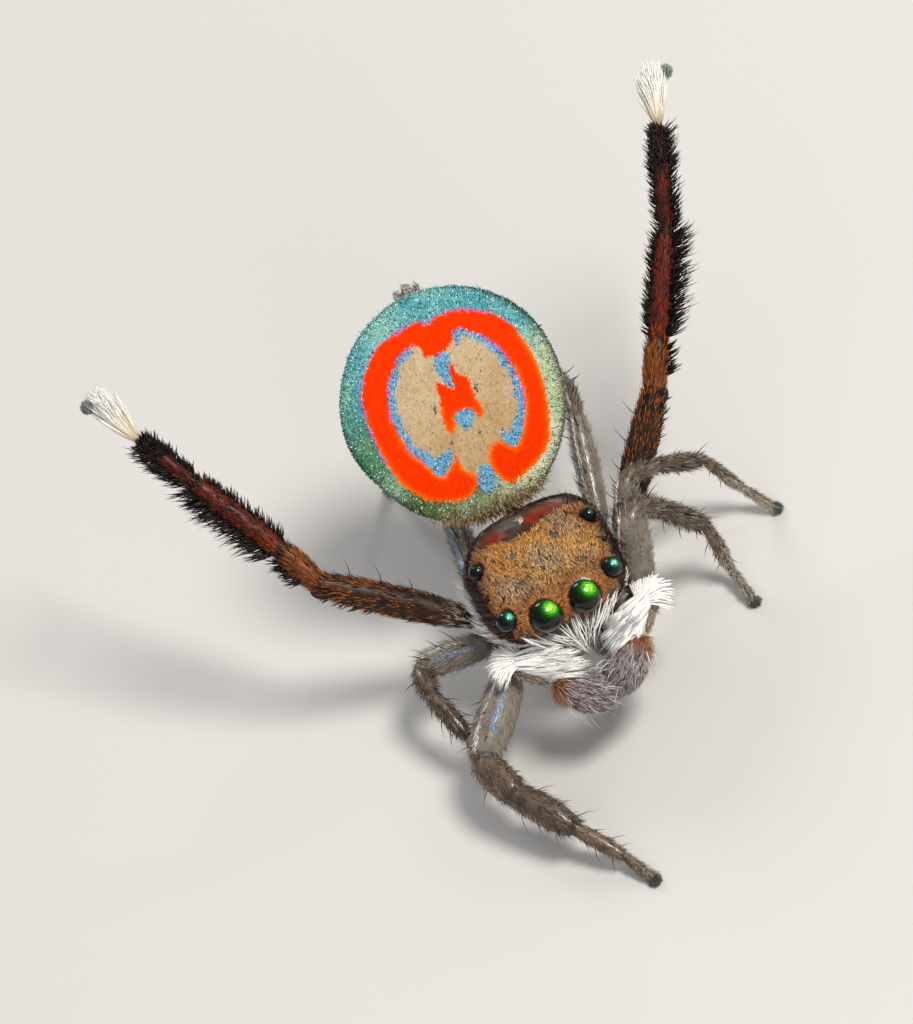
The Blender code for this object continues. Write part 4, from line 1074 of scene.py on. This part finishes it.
# A narrow row of white hairs and a patch of blue scales along the upper side of the femur
def whiteLine(path, chance):
    line, blue = walking["whiteLine"], walking["bluePatch"]
    found = limbPlaces(path, line["count"], *line["parts"], *line["angles"], chance)
    end = found["way"] + chance.normal(scale=0.08, size=(line["count"], 3))
    tint = line["tone"] * chance.uniform(0.7, 1.1, (line["count"], 1))
    leave = end + found["normal"] * 0.2
    parts = [growHair(found, leave, end, line["length"], line["width"], tint, tint)]
    found = limbPlaces(path, blue["count"], *blue["parts"], *blue["angles"], chance)
    tint = blue["tone"] * chance.uniform(0.5, 1.15, (blue["count"], 1))
    lie = found["way"] + chance.normal(scale=0.3, size=(blue["count"], 3))
    parts.append(growScales(found, lie, blue["length"], blue["width"], tint))
    return parts


def clawTuft(tip, way, chance):
    count = walking["clawHairs"]
    ball = unit(chance.normal(size=(count, 3)) * [1, 1, 0.8])
    found = {"root": padCentre(tip) + ball * walking["clawRadius"], "normal": ball,
             "map": chance.uniform(0.4, 0.6, (count, 2))}
    ahead = unit(way * [1, 1, 0.2])
    end = ball * 0.8 + ahead * 0.9 - np.array([0, 0, 0.35]) + chance.normal(scale=0.2, size=(count, 3))
    tint = walking["claw"] * chance.uniform(0.7, 1.7, (count, 1))
    length = walking["clawLength"] * chance.uniform(0.7, 1.25, count)
    leave = ball + ahead * 0.6
    return growHair(found, leave, end, length, walking["clawWidth"], tint, tint * 0.6, sink=0.0)


# Long thin dark spines standing off the legs
def legSpines(path, chance):
    found = spinePlaces(path, walking["spines"], 0.03, 8, chance)
    count = len(walking["spines"])
    length = walking["spineLength"] * chance.uniform(0.75, 1.25, count)
    length = length * np.where(found["part"] > 4, 0.75, 1)
    leave = found["normal"] * 0.9 + found["way"] * 0.35
    end = found["normal"] * 0.5 + found["way"] * 0.8
    tint = legMake["spine"]
    return growHair(found, leave, end, length, walking["spineWidth"], tint, tint * 0.6, spineTaper, 0.03)


for legName in legs:
    if "leg_3" not in legName:
        makeWalkingLeg(legName)
print("walking legs made")

# The raised third legs: dark red cuticle, black bristle brushes and a white tuft at the tip
display = {
    "core": (colour(104, 94, 84), colour(50, 31, 18), colour(104, 54, 20), colour(92, 26, 7),
             colour(78, 16, 5), colour(198, 160, 120)),
    "black": colour(16, 9, 7), "bristle": colour(22, 14, 11), "amber": colour(158, 84, 26),
    "rust": colour(120, 42, 14), "pale": colour(225, 220, 210), "knob": colour(34, 26, 24),
    "coat": {"count": 4200, "parts": (0.6, 4.95), "spread": 0.14, "leave": (0.85, 0.42), "end": (1, 0.08),
             "shade": (0.6, 1.3), "tip": 1.1, "length": 0.11, "vary": (0.7, 1.3), "width": 0.011,
             "taper": (1.0, 0.75)},
    # the knob at the knee: its part, half sizes up, aside and along, and how far it is raised
    "knobPart": 1.97, "knobSize": (0.065, 0.075, 0.110), "knobRise": 0.118,
    "white": colour(240, 238, 232), "whiteRoot": (0.80, 0.66, 0.48), "whiteTip": (0.96, 0.95, 0.93),
    "whiteHairs": 2000, "clumps": 60, "whiteParts": (5.02, 5.80), "whiteLength": 0.55, "whiteWidth": 0.022,
    "claw": colour(128, 136, 128), "clawHairs": 520, "clawShift": 0.13, "clawRadius": 0.042,
    "clawLength": 0.085, "clawWidth": 0.011,
    # part along the leg and length of each spine
    "spines": ((1.42, 0.24), (1.62, 0.33), (1.82, 0.30)), "spineWidth": 0.020,
    "brushWidth": 0.023, "brushTaper": (0.85, 1.0, 0.62),
    # part from, part to, angle from the outer side from and to, how many, length, lean
    "brushes": (
        (1.62, 1.97, -40, 40, 34, 0.14, 40), (2.25, 2.95, -44, 44, 84, 0.205, 36),
        (3.03, 3.99, -54, 50, 300, 0.335, 36), (4.00, 4.98, -52, 48, 210, 0.245, 42),
        (3.03, 3.99, 146, 228, 190, 0.175, 40), (4.00, 4.98, 146, 228, 170, 0.175, 42),
        (4.55, 5.00, 0, 360, 420, 0.12, 58)),
}


def displayTint(part, sine, points):
    k = np.clip(part.astype(int), 0, 5)
    base = np.array(display["core"])[k] * (1 + 0.3 * cloud(points, 0.22, 61))[:, None]
    streak = smoothStep(0.2, 0.9, np.sin(14 * sine + 5 * part))
    base = blend(base, display["black"], 0.45 * streak * (part > 1))
    black = smoothStep(4.45, 4.72, part) * (part < 5.02)
    knob = smoothStep(1.84, 1.92, part) * smoothStep(2.08, 2.02, part) * 0.85
    return blend(base, display["black"], np.max([black, knob, 0.75 * jointDark(part, 0.10)], axis=0))


def displayTone(part, chance):
    pale = smoothStep(1.25, 0.9, part)[:, None]
    share = 0.16 + 0.40 * smoothStep(1.3, 1.8, part) - 0.26 * smoothStep(2.9, 3.1, part)
    amber = (chance.random(len(part)) < share)[:, None]
    warm = blend(display["amber"], display["rust"], smoothStep(2.8, 3.4, part))
    return np.where(amber, warm, display["bristle"] * 1.3) * (1 - pale) + display["pale"] * pale


def makeDisplayLeg(name):
    size = legs[name]
    chance = np.random.default_rng(sum(ord(c) for c in name))
    outward = np.array([1.0 if name.endswith("left") else -1.0, 0, 0])
    path = limbPath(size["joints"], size["radii"], legMake["neck"], outward)
    skin = limbSkin(path, legMake["inset"])
    skin["tint"] = displayTint(skin["extra"]["part"], skin["extra"]["sine"], skin["verts"])
    nodes = [name + "_" + piece for piece in ("femur", "patella", "tibia", "metatarsus", "tarsus")]
    addPiece(name + "_skin", [skin, kneeKnob(path)], redLegFinish, nodes)
    addPiece(name + "_bristles", brushes(path, chance), bristleFinish)
    coat = limbCoat(path, display["coat"], chance, displayTone)
    addPiece(name + "_hair", [coat], hairFinish)
    addPiece(name + "_spines", [upperSpines(path, chance)], bristleFinish)
    addPiece(name + "_tuft", whiteTuft(path, chance), whiteFinish)


# Rows of black bristles, longest along the middle of each row
def brushes(path, chance):
    parts = []
    for first, last, low, high, count, length, lean in display["brushes"]:
        found = limbPlaces(path, count, first, last, low, high, chance)
        rise = np.radians(lean + chance.normal(scale=8, size=count))[:, None]
        leave, end = (found["normal"] * np.cos(rise * k) + found["way"] * np.sin(rise * k)
                      for k in (0.75, 1.2))
        middle = 1 - 0.45 * np.abs(found["angle"] - (low + high) / 2) / ((high - low) / 2)
        size = length * middle * chance.uniform(0.68, 1.12, count)
        tint = display["bristle"] * chance.uniform(0.5, 1.6, (count, 1))
        parts.append(growHair(found, leave, end, size, display["brushWidth"], tint, tint * 0.8,
                              display["brushTaper"]))
    return parts


# The smooth dark knob at the outer side of the knee
def kneeKnob(path):
    at = np.argmin(np.abs(path["part"] - display["knobPart"]))
    axes = np.stack([path[name][at] * size for name, size in zip(("up", "side", "way"), display["knobSize"])])
    centre = path["place"][at] + path["up"][at] * display["knobRise"]
    return paint(gridSkin(centre + ballWays(14, 20) @ axes), display["knob"])


def upperSpines(path, chance):
    spines = display["spines"]
    found = spinePlaces(path, [(part, 180) for part, _ in spines], 0.02, 12, chance)
    length = np.array([size for _, size in spines])
    leave = found["normal"] * 0.9 + found["way"] * 0.3
    end = found["normal"] * 0.65 + found["way"] * 0.7
    tint = legMake["spine"]
    return growHair(found, leave, end, length, display["spineWidth"], tint, tint * 0.5, spineTaper, 0.04)


# The tuft leans to the inner side of the foot, with the grey claw tuft beside it
def whiteTuft(path, chance):
    count = display["whiteHairs"]
    found = limbPlaces(path, count, *display["whiteParts"], 0, 360, chance)
    clumps = display["clumps"]
    clump = chance.normal(scale=0.07, size=(clumps, 3))[chance.integers(0, clumps, count)]
    spread = clump + chance.normal(scale=0.05, size=(count, 3))
    way, up = path["way"][-1], path["up"][-1]
    splay = chance.uniform(-0.06, 0.36, (count, 1))
    leave = found["way"] + found["normal"] * 0.22 + spread
    end = found["way"] - up * splay + found["normal"] * 0.06 + spread
    length = display["whiteLength"] - 0.34 * (found["part"] - 5.04) + chance.uniform(-0.07, 0.05, count)
    tint = display["white"] * chance.uniform(0.86, 1.08, (count, 1))
    root = tint * blend(display["whiteRoot"], display["whiteTip"], smoothStep(5.05, 5.25, found["part"]))
    parts = [growHair(found, leave, end, length, display["whiteWidth"], root, tint, (0.8, 1.0, 0.9))]
    count = display["clawHairs"]
    ball = unit(chance.normal(size=(count, 3)))
    tip = path["place"][-1] + up * display["clawShift"]
    found = {"root": tip + ball * display["clawRadius"], "normal": ball,
             "map": chance.uniform(0.45, 0.55, (count, 2))}
    end = ball * 0.45 + way + chance.normal(scale=0.12, size=(count, 3))
    tint = display["claw"] * chance.uniform(0.45, 1.35, (count, 1))
    parts.append(growHair(found, ball + way * 0.4, end, display["clawLength"], display["clawWidth"],
                          tint, tint, sink=0.0))
    return parts


for legName in ("leg_3_left", "leg_3_right"):
    makeDisplayLeg(legName)
print("raised legs made")

# Under the head: jaws, breast plate and waist
under = {
    "jaw": {"x": 0.185, "y": -0.02, "top": -0.50, "bottom": -1.05, "wide": 0.138, "deep": 0.118,
            "sides": 40, "rows": 24, "skin": colour(58, 30, 18)},
    "breast": ((0.02, 0.24, -0.63, -0.92), (0.12, 0.31, -0.63, -0.95), (0.45, 0.36, -0.63, -0.90),
               (0.95, 0.37, -0.63, -0.87), (1.40, 0.30, -0.63, -0.84), (1.60, 0.16, -0.63, -0.78)),
    "breastRing": (48, 2.4, 0.01),  # sides, squareness and inset
    "breastSkin": colour(70, 52, 38), "waistSkin": colour(60, 46, 36), "waistStart": (0, 1.86, -0.45),
    "waist": ((0.0, 0.105), (0.35, 0.08), (0.75, 0.095), (1.0, 0.115)),
    "jawHair": {"count": 420, "lean": (0, -0.25, -1.0), "spread": 0.2, "rise": 0.7, "length": 0.10,
                "width": 0.009, "tone": colour(196, 188, 178), "shade": (0.6, 1.15)},
    "breastHair": {"count": 900, "lean": (0, 0.6, -0.5), "spread": 0.3, "rise": 1, "length": 0.09,
                   "width": 0.010, "tone": colour(170, 160, 146), "shade": (0.6, 1.1)},
}


# Hair that leans one way all over a skin
def leaningHair(skin, coat, chance):
    count = coat["count"]
    found = scatter(skin, count, chance)
    end = np.array(coat["lean"]) + chance.normal(scale=coat["spread"], size=(count, 3))
    tint = coat["tone"] * chance.uniform(*coat["shade"], (count, 1))
    leave = end + found["normal"] * coat["rise"]
    return growHair(found, leave, end, coat["length"], coat["width"], tint, tint, sharpTaper)


def makeUnder():
    chance = np.random.default_rng(71)
    jaw = under["jaw"]
    a = circle(jaw["sides"])
    t = np.linspace(0, 1, jaw["rows"])[:, None]
    swell = np.sin(math.pi * (0.24 + 0.64 * t)) ** 0.5
    height = (jaw["top"] + (jaw["bottom"] - jaw["top"]) * t) * np.ones(jaw["sides"])
    for side, sign in (("left", 1), ("right", -1)):
        skin = gridSkin(np.stack([sign * jaw["x"] + jaw["wide"] * swell * np.cos(a),
                                  jaw["y"] + jaw["deep"] * swell * np.sin(a), height], -1))
        skin["tint"] = jaw["skin"] * (1 + 0.25 * cloud(skin["verts"], 0.2, 72))[:, None]
        hair = leaningHair(skin, under["jawHair"], chance)
        addPiece("jaw_" + side, [skin], shellFinish, ["chelicera_" + side])
        addPiece("jawHair_" + side, [hair], hairFinish)
    rings = [superRing(*s, *under["breastRing"]) for s in curveThrough(under["breast"], 6)]
    breast = paint(gridSkin(np.array(rings)), under["breastSkin"])
    addPiece("breastPlate", [breast, waistTube()], shellFinish, ["sternum", "pedicel"])
    addPiece("breastHair", [leaningHair(breast, under["breastHair"], chance)], hairFinish)


def waistTube():
    belly = fan["belly"]
    start = np.array(under["waistStart"])
    down = belly["setBack"] + 0.55 * belly["depth"]
    end = fan["centre"] - fanOut * down - fanAlong * belly["halfLength"] * 0.80
    rows = curveThrough(under["waist"], 4)
    return paint(tubeSkin(start, end, rows, 24, [1.0, 0, 0]), under["waistSkin"])


makeUnder()

# Palps: bright white hair along each arm, bent over its knee, and a hairy swollen bulb
palps = {
    "left": {"joints": ((0.46, 0.08, -0.84), (0.96, 0.02, -0.62), (0.66, -0.25, -0.72)),
             "bulb": ((0.61, -0.31, -0.735), (0.065, -0.78, -0.90)), "sign": 1, "seed": 81},
    "right": {"joints": ((-0.46, 0.08, -0.84), (-0.90, 0.05, -0.58), (-0.55, -0.28, -0.70)),
              "bulb": ((-0.50, -0.36, -0.735), (0.0, -0.86, -0.91)), "sign": -1, "seed": 82},
    "radii": (0.095, 0.120), "neck": 0.86, "inset": 0.014, "bulbRadius": 0.235,
    "bulbProfile": ((0.02, 0.34), (0.06, 0.54), (0.14, 0.76), (0.34, 0.98), (0.56, 1.0), (0.76, 0.86),
                    (0.90, 0.58), (0.98, 0.25)),
    "white": colour(244, 242, 238), "armHairs": 1500, "clumps": 70, "kneeHairs": 260,
    "skin": colour(110, 86, 70), "bulbSkin": colour(98, 58, 52), "base": colour(150, 86, 48),
    "armLength": 0.46, "armWidth": 0.020, "kneeLength": 0.38, "kneeWidth": 0.019, "bulbSides": 40,
    "bulbHairs": 3600, "bulbHair": colour(190, 182, 184), "brownHair": colour(120, 82, 78),
    "bulbLength": 0.17, "bulbWidth": 0.010, "brownShare": 0.25, "baseHair": colour(188, 136, 96),
    "longHairs": 30, "longHair": colour(214, 208, 204), "longLength": 0.30, "longWidth": 0.009,
    "coat": {"count": 1500, "parts": (0.1, 1.98), "spread": 0.16, "leave": (0.8, 0.5), "end": (1, 0.15),
             "tone": colour(176, 162, 146), "shade": (0.6, 1.2), "tip": 1, "length": 0.10, "vary": (0.7, 1.3),
             "width": 0.010, "taper": shortTaper},
}


def makePalp(word):
    palp = palps[word]
    chance = np.random.default_rng(palp["seed"])
    path = limbPath(palp["joints"], palps["radii"], palps["neck"])
    skin = paint(limbSkin(path, palps["inset"]), palps["skin"])
    addPiece("palpArm_" + word, [skin], legFinish, ["palp_%s_arm" % word])
    knee, end = (np.array(joint) for joint in palp["joints"][1:])
    inward = np.array([-0.87 * palp["sign"], -0.49, 0])
    forward = np.array([0.49 * palp["sign"], -0.87, 0])
    up = np.array([0, 0, 1.0])
    parts = [armHair(knee, end, inward, forward, up, chance), kneeHair(knee, inward, forward, up, chance)]
    addPiece("palpWhite_" + word, parts, whiteFinish)
    addPiece("palpArmHair_" + word, [limbCoat(path, palps["coat"], chance)], hairFinish)
    makeBulb(word, palp["bulb"], chance)


# White hair combed inwards over the arm in locks
def armHair(knee, end, inward, forward, up, chance):
    count, clumps = palps["armHairs"], palps["clumps"]
    t = chance.uniform(-0.05, 1.10, count)[:, None]
    around = chance.uniform(-1.05, 1.15, count)[:, None]
    outwards = forward * np.sin(around) + up * np.cos(around)
    root = knee + (end - knee) * t + outwards * (0.095 + 0.03 * smoothStep(0.8, 1.1, t))
    found = {"root": root, "normal": outwards, "map": np.concatenate([0.5 + around / 6, 0.3 + 0.4 * t], 1)}
    lock = (np.floor(t * 7) * 11 + np.floor(around * 4)).astype(int)[:, 0] % clumps
    lean = chance.normal(scale=0.08, size=(clumps, 3))[lock]
    shade = chance.uniform(0.88, 1.08, clumps)[lock][:, None]
    rear = smoothStep(-0.2, -0.9, around) * smoothStep(0.1, 0.5, t)
    leave = inward * 0.75 + up * (0.34 + 0.22 * rear) + forward * np.sin(around) * 0.15 + lean
    tip = inward + up * (0.30 * rear - 0.06) - forward * (np.sin(around) * 0.16 + rear * 0.22) + lean
    tip = tip + chance.normal(scale=0.04, size=(count, 3))
    length = (palps["armLength"] + 0.08 * np.cos(around[:, 0])) * chance.uniform(0.75, 1.12, count)
    tint = palps["white"] * shade * chance.uniform(0.90, 1.06, (count, 1))
    # painted shade: roots a little darker than tips, so the gaps between hairs look shaded
    return growHair(found, leave, tip, length, palps["armWidth"], tint * 0.88, tint, (0.9, 1.0, 0.75))


# Hair combed outwards over the knee and hanging down beyond it
def kneeHair(knee, inward, forward, up, chance):
    count = palps["kneeHairs"]
    a = np.radians(chance.uniform(-62, 72, count))[:, None]
    way = -inward * np.cos(a) + forward * np.sin(a)
    back = chance.uniform(-0.03, 0.20, (count, 1))
    root = knee + up * (0.100 - 0.02 * np.abs(np.sin(a))) + inward * back + forward * np.sin(a) * 0.05
    place = np.concatenate([0.5 + a / 8, 0 * a + 0.25], 1)
    found = {"root": root, "normal": unit(way * 0.3 + up), "map": place}
    spread = chance.normal(scale=0.07, size=(count, 3))
    leave = way * 0.95 + up * 0.55 + spread
    tip = way * 0.60 - up * 0.85 + spread
    length = (palps["kneeLength"] + back[:, 0] * 0.8) * chance.uniform(0.8, 1.12, count)
    tint = palps["white"] * chance.uniform(0.86, 1.06, (count, 1))
    # painted shade: roots a little darker than tips, so the gaps between hairs look shaded
    return growHair(found, leave, tip, length, palps["kneeWidth"], tint * 0.9, tint, (0.9, 1.0, 0.95, 0.75))


def makeBulb(word, ends, chance):
    root, tip = np.array(ends[0]), np.array(ends[1])
    way = unit(tip - root)
    sides = palps["bulbSides"]
    rows = curveThrough(palps["bulbProfile"], 5)
    sizes = [(t, palps["bulbRadius"] * r) for t, r in rows]
    along = np.broadcast_to(rows[:, :1], (len(rows), sides))
    skin = tubeSkin(root, tip, sizes, sides, [0, 0, 1.0], {"along": along})
    base = blend(palps["bulbSkin"], palps["base"], smoothStep(0.26, 0.06, skin["extra"]["along"]))
    skin["tint"] = base * (1 + 0.25 * cloud(skin["verts"], 0.16, 84))[:, None]
    addPiece("palpBulb_" + word, [skin], bulbFinish, ["palp_%s_bulb" % word])
    found = scatter(skin, palps["bulbHairs"], chance)
    found = pick(found, (found["along"] > 0.20) | (chance.random(palps["bulbHairs"]) < 0.8))
    out, along = found["normal"], found["along"][:, None]
    count = len(out)
    jitter = chance.normal(scale=0.10, size=(count, 3))
    rear = smoothStep(0.32, 0.12, along)
    slope = unit(way - out * (out @ way)[:, None])
    flow = blend(way, slope, rear[:, 0])
    leave = flow * 0.85 + out * (0.36 + 0.15 * rear) + jitter
    end = flow * (1 - 0.25 * along) + out * (0.16 - 0.5 * along) + jitter
    tint = np.where(chance.random((count, 1)) < palps["brownShare"], palps["brownHair"], palps["bulbHair"])
    tint = blend(tint, palps["baseHair"], smoothStep(0.30, 0.10, found["along"]))
    tint = tint * chance.uniform(0.6, 1.12, (count, 1))
    length = (palps["bulbLength"] - 0.07 * found["along"]) * chance.uniform(0.7, 1.2, count)
    parts = [growHair(found, leave, end, length, palps["bulbWidth"], tint * 0.75, tint)]
    few = pick(found, chance.permutation(count)[:palps["longHairs"]])
    out = few["normal"]
    leave, end = out * 0.9 + way * 0.3, way * 0.9 + out * 0.1 - np.array([0, 0, 0.3])
    length = palps["longLength"] * chance.uniform(0.8, 1.2, len(out))
    tint = palps["longHair"]
    parts.append(growHair(few, leave, end, length, palps["longWidth"], tint, tint, (1.0, 0.9, 0.7)))
    addPiece("palpBulbHair_" + word, parts, hairFinish)


for word in ("left", "right"):
    makePalp(word)
print("palps made")

# White hair of the face and along the lower edges of the shield, and dark hair over its flanks
face = {
    "seeds": 30000, "white": colour(246, 243, 238), "meeting": (0.0, -0.30, -0.44),
    "clypeusHairs": 120, "clypeusLength": 0.42, "clypeusWidth": 0.013,
    # the shortest length and how much more it is along the fringe
    "marginHairs": 3000, "marginLength": (0.17, 0.43), "flankHairs": 5200, "flankLength": (0.10, 0.21),
    "hairWidth": 0.016, "brown": colour(112, 66, 34), "brownShare": 0.22, "dark": colour(38, 25, 17),
    "setae": 260, "setaLength": 0.13, "setaWidth": 0.008, "black": colour(24, 16, 12),
}


# Some hairs of the face, with a little disorder for each
def faceHairs(found, chosen, count, spread, chance):
    hairs = pick(found, np.nonzero(chosen)[0][:count])
    return hairs, len(hairs["root"]), chance.normal(scale=spread, size=hairs["root"].shape)


# Ways outwards and back along the edge of the shield, and how far its fringe reaches there
def flankWays(hairs):
    p = hairs["root"]
    out = unit(hairs["normal"] * [1, 1, 0])
    back = np.cross([0, 0, 1.0], out) * np.sign(p[:, :1])
    reach = smoothStep(0.0, 0.35, p[:, 1]) * smoothStep(1.45, 1.0, p[:, 1]) * np.where(p[:, 0] < 0, 1.0, 0.45)
    return out, back, reach


def dressFace(skin):
    chance = np.random.default_rng(91)
    found = scatter(skin, face["seeds"], chance)
    x, y, z = found["root"].T
    up = np.array([0, 0, 1.0])
    # long white hair below the eyes, drawn together in the middle
    clypeus = (y < 0.10) & (z < -0.10) & (z > -0.42)
    for _, _, centre, radius in eyeCentres():
        clypeus &= np.linalg.norm(found["root"] - centre, axis=1) > radius
    hairs, count, jitter = faceHairs(found, clypeus, face["clypeusHairs"], 0.10, chance)
    inwards = unit(np.array(face["meeting"]) - hairs["root"])
    leave = np.array([0, -0.45, -0.10]) + inwards + jitter
    end = inwards - up * 0.15 + jitter * 1.4
    tint = face["white"] * chance.uniform(0.8, 1.08, (count, 1))
    length = face["clypeusLength"] * chance.uniform(0.6, 1.25, count)
    # painted shade: roots a little darker than tips, so the gaps between hairs look shaded
    parts = [growHair(hairs, leave, end, length, face["clypeusWidth"], tint * 0.9, tint, (1.0, 0.9, 0.7))]
    # a white line combed back along the margin
    low = (z < -0.36) & (z > -0.56) & (y > 0.02) & (y < 1.75)
    hairs, count, jitter = faceHairs(found, low, face["marginHairs"], 0.07, chance)
    out, back, reach = flankWays(hairs)
    leave = out + back * 0.10 - up * 0.04 + jitter
    tint = face["white"] * chance.uniform(0.82, 1.04, (count, 1))
    least, more = face["marginLength"]
    length = (least + more * reach) * chance.uniform(0.88, 1.08, count)
    end = back + out * 0.10 + jitter
    # painted shade: roots a little darker than tips, so the gaps between hairs look shaded
    parts.append(growHair(hairs, leave, end, length, face["hairWidth"], tint * 0.9, tint, (1.0, 1.0, 0.8)))
    addPiece("faceHair", parts, whiteFinish)
    # dark hair over the flank above it
    side = (z > -0.42) & (z < chance.uniform(-0.20, 0.03, len(z))) & (y > 0.02)
    hairs, count, jitter = faceHairs(found, side, face["flankHairs"], 0.08, chance)
    out, back, reach = flankWays(hairs)
    tint = np.where(chance.random((count, 1)) < face["brownShare"], face["brown"], face["dark"])
    tint = tint * chance.uniform(0.6, 1.25, (count, 1))
    leave = hairs["normal"] * 0.8 + back * 0.5 - up * 0.20 + jitter
    end = out * 0.25 + back - up * 0.35 + jitter
    reach = reach * smoothStep(0.02, -0.24, hairs["root"][:, 2])
    least, more = face["flankLength"]
    length = (least + more * reach) * chance.uniform(0.8, 1.1, count)
    flank = growHair(hairs, leave, end, length, face["hairWidth"], tint, tint, (1.0, 1.0, 0.75))
    addPiece("flankHair", [flank], hairFinish)
    # a few dark bristles standing along the upper edge
    hairs, count, jitter = faceHairs(found, (z > -0.1) & (np.abs(x) > 0.55), face["setae"], 0.2, chance)
    leave = hairs["normal"] + jitter
    end = hairs["normal"] * 0.6 + np.array([0, -0.5, 0.2]) + jitter
    length = face["setaLength"] * chance.uniform(0.6, 1.5, count)
    tint = face["black"]
    setae = growHair(hairs, leave, end, length, face["setaWidth"], tint, tint, sharpTaper)
    addPiece("shieldSetae", [setae], bristleFinish)


dressFace(shieldSkin)
print("face made")


# Floor and light
stage = {
    "floor": 400.0, "floorColour": colour(194, 191, 187), "world": 0.27, "sky": colour(246, 249, 255),
    "aim": (0, 1.0, 0),  # where the lights point
    # each light's place, size, power in watts, colour and whether it shows in wet surfaces
    "lights": {
        "key": ((48, -20, 92), 34, 0.118, (1.0, 0.97, 0.92), True),
        "fill": ((-80, -60, 70), 130, 0.030, (0.92, 0.96, 1.0), False),
        "front": ((10, -100, 26), 80, 0.050, (1.0, 0.99, 0.97), False),
        "back": ((-20, 90, 60), 40, 0.040, (1.0, 1.0, 1.0), True),
        "glint": ((68, 40, 62), 8, 0.006, (1.0, 1.0, 1.0), True)},
}


def addLight(name, place, size, power, warmth, inGloss):
    data = bpy.data.lights.new(name, "AREA")
    data.shape = "DISK"
    data.size = size * mm
    data.energy = power
    data.color = warmth
    lamp = bpy.data.objects.new(name, data)
    bpy.context.scene.collection.objects.link(lamp)
    lamp.visible_glossy = inGloss
    toward = unit(np.array(place) - stage["aim"])
    side = unit(np.cross([0, 0, 1.0], toward))
    placeObject(lamp, side, np.cross(toward, side), toward, np.array(place))


def addStage():
    bpy.ops.mesh.primitive_circle_add(vertices=96, radius=stage["floor"] * mm, fill_type="NGON")
    floor = bpy.context.object
    floor.name = "floor"
    material = bpy.data.materials.new("paleFloor")
    material.use_nodes = True
    shader = material.node_tree.nodes["Principled BSDF"]
    setSockets(shader, **{"Base Color": (*stage["floorColour"], 1), "Roughness": 0.8})
    floor.data.materials.append(material)
    world = bpy.data.worlds.new("studio")
    world.use_nodes = True
    setSockets(world.node_tree.nodes["Background"], Color=(*stage["sky"], 1), Strength=stage["world"])
    bpy.context.scene.world = world
    for name, light in stage["lights"].items():
        addLight(name, *light)
    bpy.context.scene.view_settings.view_transform = "Standard"
    print("stage set")


addStage()
